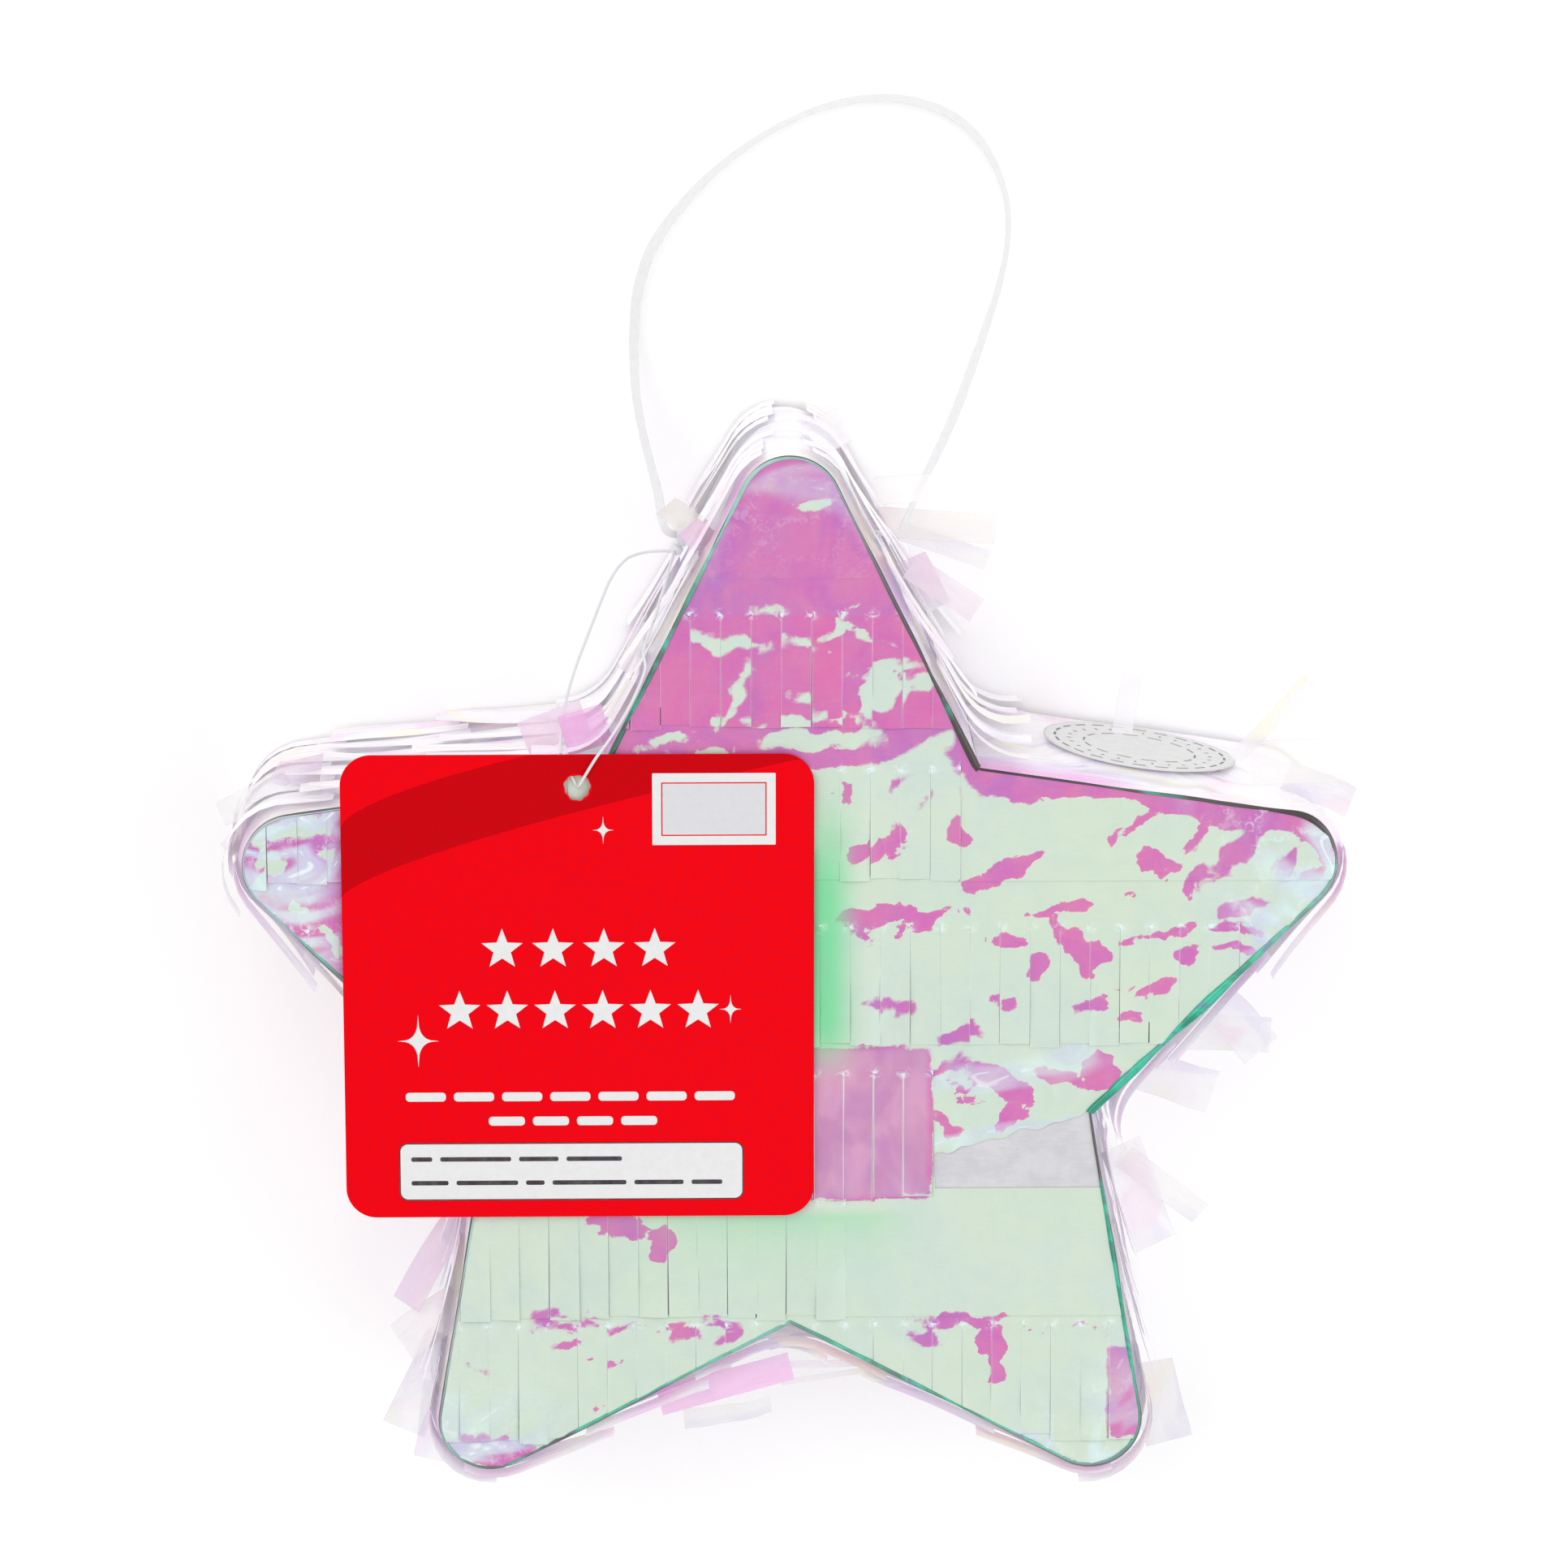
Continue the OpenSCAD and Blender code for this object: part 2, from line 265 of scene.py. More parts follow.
def capped(rings):
    """Closes both ends of a swept tube by drawing its last ring in to its middle."""
    ends = [np.repeat(r.mean(0, keepdims=True), rings.shape[1], 0)[None] for r in (rings[0], rings[-1])]
    return np.concatenate([ends[0], rings, ends[1]])


def tube_lay(s, around):
    """A capped tube's own map: the distance along it, and the place round it."""
    return np.stack(np.broadcast_arrays(np.concatenate([[0], s, [s[-1]]])[:, None], around[None], 0.0), -1)


# ---- The star ----

def star_shape():
    """The half angle of a point, the lean of a wall, and how far out a point's rounding is centred."""
    star = settings().star
    half = math.atan2(star.inner_r * math.sin(HALF_STEP), star.star_r - star.inner_r * math.cos(HALF_STEP))
    return half, HALF_STEP + half, star.star_r - star.tip_r / math.sin(half)


def star_edge(x, y):
    """How far points lie outside the star's outline (inside is negative), and which way is out.

    A point is turned and folded onto half of one arm. There the outline is one straight line up to
    the rounding, and a circle beyond it."""
    star = settings().star
    half, _, tip_c = star_shape()
    y = y - star.centre_y
    arm = np.round((np.arctan2(y, x) - math.pi / 2) / (2 * HALF_STEP)) * 2 * HALF_STEP + math.pi / 2
    u = x * np.cos(arm) + y * np.sin(arm)
    v = -x * np.sin(arm) + y * np.cos(arm)
    side, v = np.sign(v), np.abs(v)
    cu, cv = star.inner_r * math.cos(HALF_STEP), star.inner_r * math.sin(HALF_STEP)
    flat = (u - cu) * math.sin(half) + (v - cv) * math.cos(half)
    beyond = (u - tip_c) * math.cos(half) - v * math.sin(half) > 0
    far = np.hypot(u - tip_c, v) + 1e-9
    out = np.where(beyond, far - star.tip_r, flat)
    gu = np.where(beyond, (u - tip_c) / far, math.sin(half))
    gv = np.where(beyond, v / far, math.cos(half)) * side
    return out, gu * np.cos(arm) - gv * np.sin(arm), gu * np.sin(arm) + gv * np.cos(arm)


def drawn_in(x, y):
    """Points with those past the star's outline drawn in to it, and how far outside each lay."""
    out, gx, gy = star_edge(x, y)
    past = np.maximum(out, 0)
    return x - past * gx, y - past * gy, out


def wall_path(out=0.0, fillet=0.0, step=1.0):
    """The star's outline moved outwards, its inner corners rounded, as even points and normals.

    It starts at the top point and runs anticlockwise."""
    star = settings().star
    half, lean, tip_c = star_shape()
    tip = np.linspace(0, math.pi / 2 - half, 24)
    arc = polar(star.tip_r + out, tip) + [tip_c, 0]
    ray = np.array([math.cos(HALF_STEP), math.sin(HALF_STEP)])
    corner = (star.inner_r + out / math.sin(lean)) * ray
    if fillet:
        middle = corner + fillet / math.sin(lean) * ray
        start = corner + fillet / math.tan(lean) * np.array([math.cos(half), -math.sin(half)]) - middle
        a = np.linspace(math.atan2(start[1], start[0]) % (2 * math.pi), HALF_STEP + math.pi, 16)
        end = middle + polar(fillet, a)
    else:
        end = corner[None]
    side = np.vstack([arc, end])
    other = (side * [1, -1])[::-1][1:-1]
    flanks = []
    for k in range(POINTS):
        for flank, arm in ((side, k), (other, k + 1)):
            a = math.pi / 2 + 2 * HALF_STEP * arm
            flanks.append(flank @ [[math.cos(a), math.sin(a)], [-math.sin(a), math.cos(a)]])
    p = np.vstack(flanks + [flanks[0][:1]])
    s_at = distances(p)
    even = np.linspace(0, s_at[-1], int(s_at[-1] / step) + 1)[:-1]
    q = np.stack([np.interp(even, s_at, p[:, 0]), np.interp(even, s_at, p[:, 1])], -1)
    t = np.roll(q, -1, 0) - np.roll(q, 1, 0)
    n = np.stack([t[:, 1], -t[:, 0]], -1) / np.linalg.norm(t, axis=1, keepdims=True)
    return q + [0, star.centre_y], n, s_at[-1]


def apart(s, at, total):
    """How far s lies past a place on a closed path of this length, going the shorter way."""
    return (s - at + total / 2) % total - total / 2


def on_path(path, normals, total, s, off):
    """Points at the distances s along a closed path, moved out by off."""
    at = np.linspace(0, total, len(path) + 1)
    s = s % total
    p = [np.interp(s, at, np.append(path[:, i], path[0, i])) for i in (0, 1)]
    n = [np.interp(s, at, np.append(normals[:, i], normals[0, i])) for i in (0, 1)]
    size = np.hypot(*n)
    return p[0] + off * n[0] / size, p[1] + off * n[1] / size


# ---- Shading ----

def put(tree, value, socket):
    """Links an output to a socket, or sets the socket to a plain value."""
    if isinstance(value, bpy.types.NodeSocket):
        tree.links.new(value, socket)
    else:
        socket.default_value = value


def maths(tree, op, a, b=0.0, clamp=False):
    """One step of arithmetic, named by its operation."""
    node = tree.nodes.new("ShaderNodeMath")
    node.operation, node.use_clamp = op, clamp
    put(tree, a, node.inputs[0])
    put(tree, b, node.inputs[1])
    return node.outputs[0]


def times(tree, a, b):
    """One value times another."""
    return maths(tree, "MULTIPLY", a, b)


def mixed(tree, factor, a, b):
    """The colour a where the factor is 0, b where it is 1, and a blend between."""
    node = tree.nodes.new("ShaderNodeMix")
    node.data_type = "RGBA"
    put(tree, factor, node.inputs[0])
    put(tree, a, node.inputs[6])
    put(tree, b, node.inputs[7])
    return node.outputs[2]


def stepped(tree, value, lo, hi, out_lo=0.0, out_hi=1.0):
    """out_lo where the value is under lo, out_hi where it is over hi, and smooth between."""
    node = tree.nodes.new("ShaderNodeMapRange")
    node.interpolation_type = "SMOOTHSTEP"
    for socket, v in zip(node.inputs[:5], (value, lo, hi, out_lo, out_hi)):
        put(tree, v, socket)
    return node.outputs[0]


def noise(tree, vector, scale, detail=3.0, rough=0.55, warp=0.0):
    """Cloudy noise from 0 to 1."""
    node = tree.nodes.new("ShaderNodeTexNoise")
    for key, v in (("Vector", vector), ("Scale", scale), ("Detail", detail), ("Roughness", rough),
                   ("Distortion", warp)):
        put(tree, v, node.inputs[key])
    return node.outputs["Fac"]


def stretched(tree, vector, scale):
    """A place with each of its numbers scaled."""
    node = tree.nodes.new("ShaderNodeMapping")
    put(tree, vector, node.inputs["Vector"])
    node.inputs["Scale"].default_value = scale
    return node.outputs[0]


def place(tree):
    """A point's place on its own piece, in m."""
    return tree.nodes.new("ShaderNodeTexCoord").outputs["Object"]


def read(tree, name, out="Fac"):
    """A number, or with out="Vector" a triple, that the mesh carries under this name."""
    node = tree.nodes.new("ShaderNodeAttribute")
    node.attribute_name = name
    return node.outputs[out]


def bumped(tree, height, strength, distance):
    """A normal tipped by a height."""
    node = tree.nodes.new("ShaderNodeBump")
    node.inputs["Strength"].default_value = strength
    node.inputs["Distance"].default_value = distance
    put(tree, height, node.inputs["Height"])
    return node.outputs[0]


def new_group(name, outs, **numbers):
    """An empty shader node group and its two ends' sockets. It takes a Vector and the numbers
    given with their defaults, and gives out one number for each name in outs."""
    group = bpy.data.node_groups.new(name, "ShaderNodeTree")
    group.interface.new_socket("Vector", in_out="INPUT", socket_type="NodeSocketVector")
    for label, default in numbers.items():
        socket = group.interface.new_socket(label, in_out="INPUT", socket_type="NodeSocketFloat")
        socket.default_value = default
    for label in outs:
        group.interface.new_socket(label, in_out="OUTPUT", socket_type="NodeSocketFloat")
    return group, group.nodes.new("NodeGroupInput").outputs, group.nodes.new("NodeGroupOutput").inputs


def use_group(tree, name, **values):
    """The outputs of a node group set into a tree."""
    node = tree.nodes.new("ShaderNodeGroup")
    node.node_tree = bpy.data.node_groups[name]
    for key, v in values.items():
        put(tree, v, node.inputs[key])
    return node.outputs


def make_groups():
    """Card grain, clouds of colour in film and fine folds of film, which several materials share."""
    tree, given, out = new_group("card_grain", ("Shade", "Height"))
    fine = noise(tree, given[0], 1800.0, 4.0)
    pulp = noise(tree, given[0], 260.0, 5.0, 0.65)
    fibre = noise(tree, stretched(tree, given[0], (1.0, 6.0, 1.0)), 420.0)
    shade = maths(tree, "ADD", times(tree, pulp, 0.7), times(tree, fibre, 0.3))
    put(tree, stepped(tree, shade, 0.34, 0.66), out[0])
    put(tree, maths(tree, "ADD", times(tree, fine, 0.5), fibre), out[1])

    tree, given, out = new_group("film_clouds", ("Broad", "Small", "Edge"))
    put(tree, stepped(tree, noise(tree, given[0], 26.0, 2.0, 0.5, 0.6), 0.3, 0.7), out[0])
    put(tree, stepped(tree, noise(tree, given[0], 95.0, 4.0, 0.6, 0.8), 0.35, 0.68), out[1])
    put(tree, maths(tree, "SUBTRACT", noise(tree, given[0], 210.0, 4.0, 0.62, 0.9), 0.5), out[2])

    # fine folds; `Glint` is a thin line along each ridge, used for painted glints
    tree, given, out = new_group("film_folds", ("Height", "Glint"), Scale=60.0)
    warped = noise(tree, given[0], given[1], 2.0, 0.5, 1.4)
    ridge = maths(tree, "ABSOLUTE", maths(tree, "SUBTRACT", warped, 0.5))
    put(tree, maths(tree, "SUBTRACT", 1.0, times(tree, ridge, 6.0), clamp=True), out[0])
    put(tree, stepped(tree, ridge, 0.012, 0.0), out[1])


def new_material(name, **sockets):
    """A material's node tree and its Principled shader, with plain numbers on the shader's sockets."""
    made = bpy.data.materials.new(name)
    made.use_nodes = True
    shader = made.node_tree.nodes["Principled BSDF"]
    for key, v in sockets.items():
        shader.inputs[key.replace("_", " ")].default_value = v
    return made.node_tree, shader.inputs


def material(name):
    """A material made here, by its name."""
    return bpy.data.materials[name]


def card_material(name, light, dark, rough=0.86):
    """Card or tape: two tones of pulp, rougher where it is dark."""
    tree, shader = new_material(name)
    grain = use_group(tree, "card_grain", Vector=place(tree))
    put(tree, mixed(tree, grain["Shade"], dark, light), shader["Base Color"])
    put(tree, stepped(tree, grain["Shade"], 0.0, 1.0, rough, rough - 0.12), shader["Roughness"])
    put(tree, bumped(tree, grain["Height"], 0.35, 0.00008), shader["Normal"])


def film_material():
    """Dichroic film on card. Its `pink` number is over 0 where it turns magenta, which is painted
    reflection; its number for painted light paints the tag's shade on it in emerald, `crinkle` whitens
    it where it is pinched, `seam` lights a strip's cut sides, `warm` reddens a doubled magenta layer,
    `veil` clouds one over mint, and `wrinkle` folds it and gives the folds a painted light blue sheen
    and painted white glints."""
    film = settings().film
    tree, shader = new_material("face_film_dichroic", Coat_Weight=0.35, Coat_Roughness=0.16,
                                Specular_IOR_Level=0.45)
    here = place(tree)
    seam = read(tree, "seam")
    veiled = read(tree, "veil")
    wrinkle = read(tree, "wrinkle")
    clouds = use_group(tree, "film_clouds", Vector=here)
    grain = use_group(tree, "card_grain", Vector=here)
    folds = use_group(tree, "film_folds", Vector=here, Scale=70.0)
    wide_folds = use_group(tree, "film_folds", Vector=stretched(tree, here, (1.0, 1.5, 1.0)), Scale=30.0)

    # the magenta patches are painted reflection, a little lighter along their rims
    line = maths(tree, "ADD", read(tree, "pink"), times(tree, clouds["Edge"], 2.6))
    width = stepped(tree, clouds["Broad"], 0.35, 0.95, 0.10, 0.75)
    magenta_reflection = stepped(tree, maths(tree, "DIVIDE", line, width), 0.0, 1.0)
    mint = mixed(tree, clouds["Broad"], film.mint, (0.62, 0.74, 0.67, 1))
    mint = mixed(tree, times(tree, clouds["Small"], 0.5), mint, (0.68, 0.79, 0.60, 1))
    rim = maths(tree, "SUBTRACT", 1.0, stepped(tree, line, 0.0, 0.5))
    rose = mixed(tree, clouds["Broad"], film.magenta, (0.51, 0.145, 0.53, 1))
    rose = mixed(tree, times(tree, clouds["Small"], 0.55), rose, (0.76, 0.20, 0.40, 1))
    rose = mixed(tree, times(tree, rim, 0.4), rose, (0.79, 0.24, 0.42, 1))
    rose = mixed(tree, times(tree, read(tree, "warm"), 0.55), rose, (0.78, 0.12, 0.38, 1))
    colour = mixed(tree, magenta_reflection, mint, rose)

    shade = noise(tree, stretched(tree, here, (1.0, 0.5, 1.0)), 130.0, 2.0, 0.5, 0.8)
    under = mixed(tree, stepped(tree, shade, 0.4, 0.62), (0.74, 0.50, 0.62, 1), (0.52, 0.33, 0.52, 1))
    side = mixed(tree, magenta_reflection, (0.70, 0.82, 0.74, 1), (0.80, 0.46, 0.68, 1))
    pinch = stepped(tree, noise(tree, here, 900.0, 2.0, 0.5, 1.2), 0.46, 0.6)
    # painted sheen in light blue and white on the folds, and painted glints broken into pieces along them
    folded = times(tree, stepped(tree, wrinkle, 0.22, 0.6), 0.8)
    fold_sheen = mixed(tree, clouds["Small"], (0.62, 0.66, 0.86, 1), (0.72, 0.93, 0.90, 1))
    pieces = stepped(tree, noise(tree, here, 260.0, 2.0, 0.5, 0.8), 0.47, 0.58)
    glint = times(tree, times(tree, folded, wide_folds["Glint"]), pieces)
    for factor, over in (
            (times(tree, veiled, 0.52), under),
            (times(tree, seam, 0.7), side),
            (times(tree, seam, veiled), (0.70, 0.88, 0.78, 1)),
            # the tag's shade, painted emerald
            (read(tree, "glow"), film.emerald),
            (times(tree, grain["Shade"], 0.10), (0.45, 0.50, 0.47, 1)),
            (times(tree, read(tree, "crinkle"), pinch), (0.80, 0.95, 0.97, 1)),
            (times(tree, folded, stepped(tree, wide_folds["Height"], 0.42, 0.85)), fold_sheen),
            (glint, (0.92, 0.98, 1.0, 1))):
        colour = mixed(tree, factor, colour, over)
    put(tree, colour, shader["Base Color"])
    put(tree, stepped(tree, clouds["Small"], 0, 1, 0.30, 0.44), shader["Roughness"])
    height = maths(tree, "ADD", times(tree, grain["Height"], 0.25), times(tree, folds["Height"], wrinkle))
    put(tree, bumped(tree, height, 0.5, 0.0003), shader["Normal"])


def fringe_material(name, alpha_lo, alpha_hi, glow):
    """Clear dichroic film on white: nearly white, with thin streaks of lavender, yellow and pink
    along `lay`, and a tint of its own where `tone` is over 0 (pink) or under 0 (cream). `rim`
    darkens a strip's cut sides. A little light of its own stands for the light that comes
    through the film."""
    tree, shader = new_material(name, Roughness=0.34, Coat_Weight=0.3, Coat_Roughness=0.12,
                                Specular_IOR_Level=0.3, Emission_Strength=glow, Alpha=alpha_hi)
    lay = read(tree, "lay", "Vector")
    tone = read(tree, "tone")
    first = noise(tree, stretched(tree, lay, (1.0, 3.2, 1.0)), 0.040, 2.0, 0.5, 0.7)
    second = noise(tree, stretched(tree, lay, (1.2, 2.6, 1.0)), 0.034, 2.0, 0.5, 1.0)
    blots = noise(tree, lay, 0.07, 1.0, 0.4, 0.6)
    colour = settings().fringe.clear
    for factor, over in (
            (stepped(tree, first, 0.46, 0.66, 0.0, 0.8), (0.78, 0.73, 0.90, 1)),
            (stepped(tree, second, 0.55, 0.70, 0.0, 0.6), (0.94, 0.92, 0.68, 1)),
            (stepped(tree, blots, 0.58, 0.70, 0.0, 0.55), (0.93, 0.66, 0.84, 1)),
            (maths(tree, "MAXIMUM", tone, 0.0), (0.86, 0.36, 0.77, 1)),
            (maths(tree, "MAXIMUM", times(tree, tone, -1.0), 0.0), (0.93, 0.86, 0.70, 1)),
            (times(tree, read(tree, "rim"), 0.25), (0.62, 0.60, 0.68, 1))):
        colour = mixed(tree, factor, colour, over)
    put(tree, colour, shader["Base Color"])
    put(tree, colour, shader["Emission Color"])
    if alpha_lo < alpha_hi:
        put(tree, stepped(tree, second, 0.35, 0.65, alpha_lo, alpha_hi), shader["Alpha"])
    folds = use_group(tree, "film_folds", Vector=stretched(tree, lay, (1.0, 2.2, 1.0)), Scale=0.05)
    put(tree, bumped(tree, folds["Height"], 0.34, 0.0005), shader["Normal"])


def edge_material():
    """The film's turned edge: teal to emerald, with dark stretches where `tone` is low, partly the
    card's cut edge and partly painted shadow in the gap beside the wall, and pale ones, a painted
    highlight, where `pale` is high."""
    tree, shader = new_material("edge_film_teal", Roughness=0.2, Coat_Weight=0.6, Coat_Roughness=0.08)
    here = place(tree)
    streak = noise(tree, stretched(tree, here, (1.0, 1.0, 3.0)), 150.0, 3.0, 0.6, 0.6)
    level = maths(tree, "ADD", noise(tree, here, 60.0, 3.0, 0.6, 0.5), read(tree, "tone"))
    colour = (0.0, 0.27, 0.17, 1)
    for factor, over in (
            (stepped(tree, streak, 0.4, 0.6), (0.01, 0.53, 0.32, 1)),
            (stepped(tree, streak, 0.58, 0.7), (0.10, 0.24, 0.36, 1)),
            # dark stretches: partly the cut edge, partly painted shadow in the gap
            (stepped(tree, level, 0.62, 0.44), (0.045, 0.03, 0.03, 1)),
            # pale stretches: a painted highlight
            (read(tree, "pale"), (0.62, 0.72, 0.72, 1))):
        colour = mixed(tree, factor, colour, over)
    put(tree, colour, shader["Base Color"])


def satin_material():
    """White satin: fine threads along the ribbon, with thicker ones here and there."""
    tree, shader = new_material("satin_ribbon_white", Roughness=0.42, Sheen_Weight=0.25,
                                Specular_IOR_Level=0.35)
    lay = read(tree, "lay", "Vector")
    threads = noise(tree, stretched(tree, lay, (0.4, 7.0, 1.0)), 1.4, 3.0, 0.6)
    slub = noise(tree, stretched(tree, lay, (0.15, 1.0, 1.0)), 0.8, 2.0)
    put(tree, mixed(tree, stepped(tree, threads, 0.35, 0.65), (0.82, 0.82, 0.83, 1), (0.92, 0.92, 0.93, 1)),
        shader["Base Color"])
    put(tree, bumped(tree, maths(tree, "ADD", threads, slub), 0.4, 0.00008), shader["Normal"])


def thread_material():
    """A twisted white thread."""
    tree, shader = new_material("thread_clear_white", Roughness=0.3, Coat_Weight=0.3)
    twist = noise(tree, stretched(tree, read(tree, "lay", "Vector"), (2.0, 1.0, 1.0)), 1.6, 2.0)
    put(tree, mixed(tree, twist, (0.72, 0.72, 0.74, 1), (0.88, 0.88, 0.9, 1)), shader["Base Color"])
    put(tree, bumped(tree, twist, 0.3, 0.00005), shader["Normal"])


def print_material(name, base, other, rough=0.3):
    """Printed card, ink or paper: two near colours in a faint mottle, which also roughens it."""
    tree, shader = new_material(name, Specular_IOR_Level=0.05)
    mottle = noise(tree, place(tree), 700.0, 4.0, 0.6)
    put(tree, mixed(tree, stepped(tree, mottle, 0.35, 0.7), base, other), shader["Base Color"])
    put(tree, stepped(tree, mottle, 0.3, 0.7, rough, rough + 0.1), shader["Roughness"])
    put(tree, bumped(tree, mottle, 0.12, 0.00004), shader["Normal"])


# ---- Operators ----

class PINATA_OT_stage(bpy.types.Operator):
    """Camera, soft lights, white surround and floor"""
    bl_idname = "pinata.stage"
    bl_label = "Stage"

    def execute(self, context):
        stage = settings().stage
        scene = context.scene
        cam = bpy.data.cameras.new("camera")
        cam.lens, cam.sensor_width, cam.clip_end = stage.lens, 36.0, 20.0
        eye, aim = Vector(stage.eye), Vector(stage.aim)
        ahead = (aim - eye).normalized()
        right = ahead.cross(Vector((0, 1, 0))).normalized()
        up = right.cross(ahead)
        holder = bpy.data.objects.new("camera", cam)
        holder.matrix_world = Matrix.Translation(eye) @ Matrix(
            (right, up, -ahead)).transposed().to_4x4()
        scene.collection.objects.link(holder)
        scene.camera = holder
        scene.view_settings.view_transform = "Standard"

        for label, where, size, power in (("key", (-0.7, 0.9, 1.5), 1.6, 11.0),
                                          ("fill", (1.0, -0.2, 1.2), 1.6, 7.0)):
            lamp = bpy.data.lights.new(label, "AREA")
            lamp.size, lamp.energy = size, power
            ob = bpy.data.objects.new(label, lamp)
            ob.location = where
            ob.rotation_euler = (-Vector(where)).to_track_quat("-Z", "Y").to_euler()
            scene.collection.objects.link(ob)

        world = bpy.data.worlds.new("studio")
        scene.world = world
        world.use_nodes = True
        background = world.node_tree.nodes["Background"].inputs
        background["Color"].default_value = (1, 1, 1, 1)
        background["Strength"].default_value = stage.sky

        u = np.linspace(-1800, 1800, 3)
        x, y = np.meshgrid(u, u, indexing="xy")
        points = np.stack([x, y, np.full_like(x, -0.4)], -1)
        mesh = bpy.data.meshes.new("floor")
        mesh.from_pydata((points.reshape(-1, 3) * MM).tolist(), [], grid_quads(3, 3).tolist())
        tree, shader = new_material("floor_white", Roughness=0.7, Specular_IOR_Level=0.1,
                                    Emission_Color=(1, 1, 1, 1), Emission_Strength=0.10)
        put(tree, mixed(tree, noise(tree, place(tree), 4.0, 2.0), (0.96, 0.96, 0.96, 1),
                        (0.98, 0.98, 0.98, 1)), shader["Base Color"])
        mesh.materials.append(material("floor_white"))
        floor = bpy.data.objects.new("floor", mesh)
        scene.collection.objects.link(floor)
        return {"FINISHED"}


class PINATA_OT_finishes(bpy.types.Operator):
    """Every material, and the card's and tape's own finish"""
    bl_idname = "pinata.finishes"
    bl_label = "Finishes"

    def execute(self, context):
        make_groups()
        card_material("grey_card_pulp", (0.69, 0.68, 0.71, 1), (0.61, 0.60, 0.63, 1))
        card_material("wall_card_pale", (0.74, 0.73, 0.75, 1), (0.66, 0.65, 0.67, 1))
        card_material("gummed_tape_kraft", (0.42, 0.27, 0.13, 1), (0.34, 0.21, 0.10, 1), 0.6)
        film_material()
        fringe_material("fringe_skin_clear", 1.0, 1.0, 0.10)
        fringe_material("fringe_strip_clear", 0.55, 0.8, 0.0)
        edge_material()
        satin_material()
        thread_material()
        print_material("tag_red", settings().tag.red, (0.83, 0.0, 0.008, 1))
        print_material("tag_dark_red", (0.60, 0.0, 0.004, 1), (0.57, 0.0, 0.004, 1))
        print_material("ink_white", (0.82, 0.82, 0.82, 1), (0.79, 0.79, 0.79, 1))
        print_material("ink_grey", (0.72, 0.72, 0.745, 1), (0.70, 0.70, 0.725, 1))
        print_material("ink_dark", (0.06, 0.05, 0.06, 1), (0.10, 0.09, 0.10, 1))
        print_material("sticker_white", (0.82, 0.82, 0.81, 1), (0.78, 0.78, 0.77, 1), 0.45)
        print_material("sticker_ink", (0.20, 0.20, 0.22, 1), (0.34, 0.34, 0.36, 1), 0.45)
        finishes = {"corner_tape": "gummed_tape_kraft", "wall": "wall_card_pale",
                    "fill_flap": "wall_card_pale", "thread_hitch": "thread_clear_white",
                    "ribbon_knot": "satin_ribbon_white"}
        for name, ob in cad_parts.items():
            finish = next((v for k, v in finishes.items() if name.startswith(k)), "grey_card_pulp")
            for slot in ob.material_slots:
                slot.material = material(finish)
        return {"FINISHED"}


# The ribbon's and the thread's middle lines, in mm
RIBBON_ROUTE = [
    (-10.1, 67.5, 25), (-14, 67.5, 25), (-19, 67.5, 25), (-20.4, 69.6, 22.6),
    (-21.2, 73.4, 18.6), (-22.5, 77.8, 14.2), (-23.8, 82.6, 9.8), (-24.7, 87.8, 6.2),
    (-25, 93, 3.6), (-24.9, 98.6, 2), (-24.2, 104.5, 1.5), (-22, 111, 1.5),
    (-18, 117, 1.5), (-12.5, 123, 1.5), (-6, 128.2, 1.5), (0.5, 132, 1.5),
    (7, 134.6, 1.5), (13.5, 135.8, 1.5), (20, 135.6, 1.5), (26.5, 133.6, 1.5),
    (31.5, 129.8, 1.5), (35, 124.3, 1.5), (36.8, 118.2, 1.5), (36.9, 112, 1.5),
    (35.7, 105.3, 1.5), (33.6, 98.5, 2), (31, 91.4, 3.8), (28.2, 84.6, 7.4),
    (25, 78.6, 12.2), (21.8, 73.4, 17.4), (19.6, 69.6, 22.4), (17.8, 67.5, 25),
    (14, 67.5, 25), (10.1, 67.5, 25)]
THREAD_ROUTE = [
    (-18.6, 64.4, 24.4), (-20.4, 64.3, 23.4), (-23.4, 63.9, 22.6), (-26.4, 62.8, 22.8),
    (-28.8, 60, 24.2), (-30.6, 56.2, 26.4), (-32.6, 51.6, 29.6), (-34.5, 47.2, 33.4),
    (-35.9, 43.2, 37.8), (-36.6, 40, 42.4), (-36.9, 37.6, 46.6), (-36.8, 36, 49.4),
    (-36.2, 34.7, 50.3), (-35.3, 33, 50.38), (-34.6, 31.7, 50.46), (-34.2, 30.9, 50.9),
    (-33.9, 31.3, 51.45), (-32.9, 33, 51.6), (-31.2, 35.8, 51.7), (-28.9, 39, 51.7),
    (-26.6, 42.7, 51.7), (-24.6, 46.6, 51.6), (-23.2, 50.4, 51.5), (-23.5, 52.6, 50.8),
    (-23.2, 54, 49), (-22.3, 55.8, 45.6), (-21, 58.7, 40), (-19.8, 61.5, 33.6),
    (-18.8, 63.9, 27), (-18.4, 64.6, 25.7)]


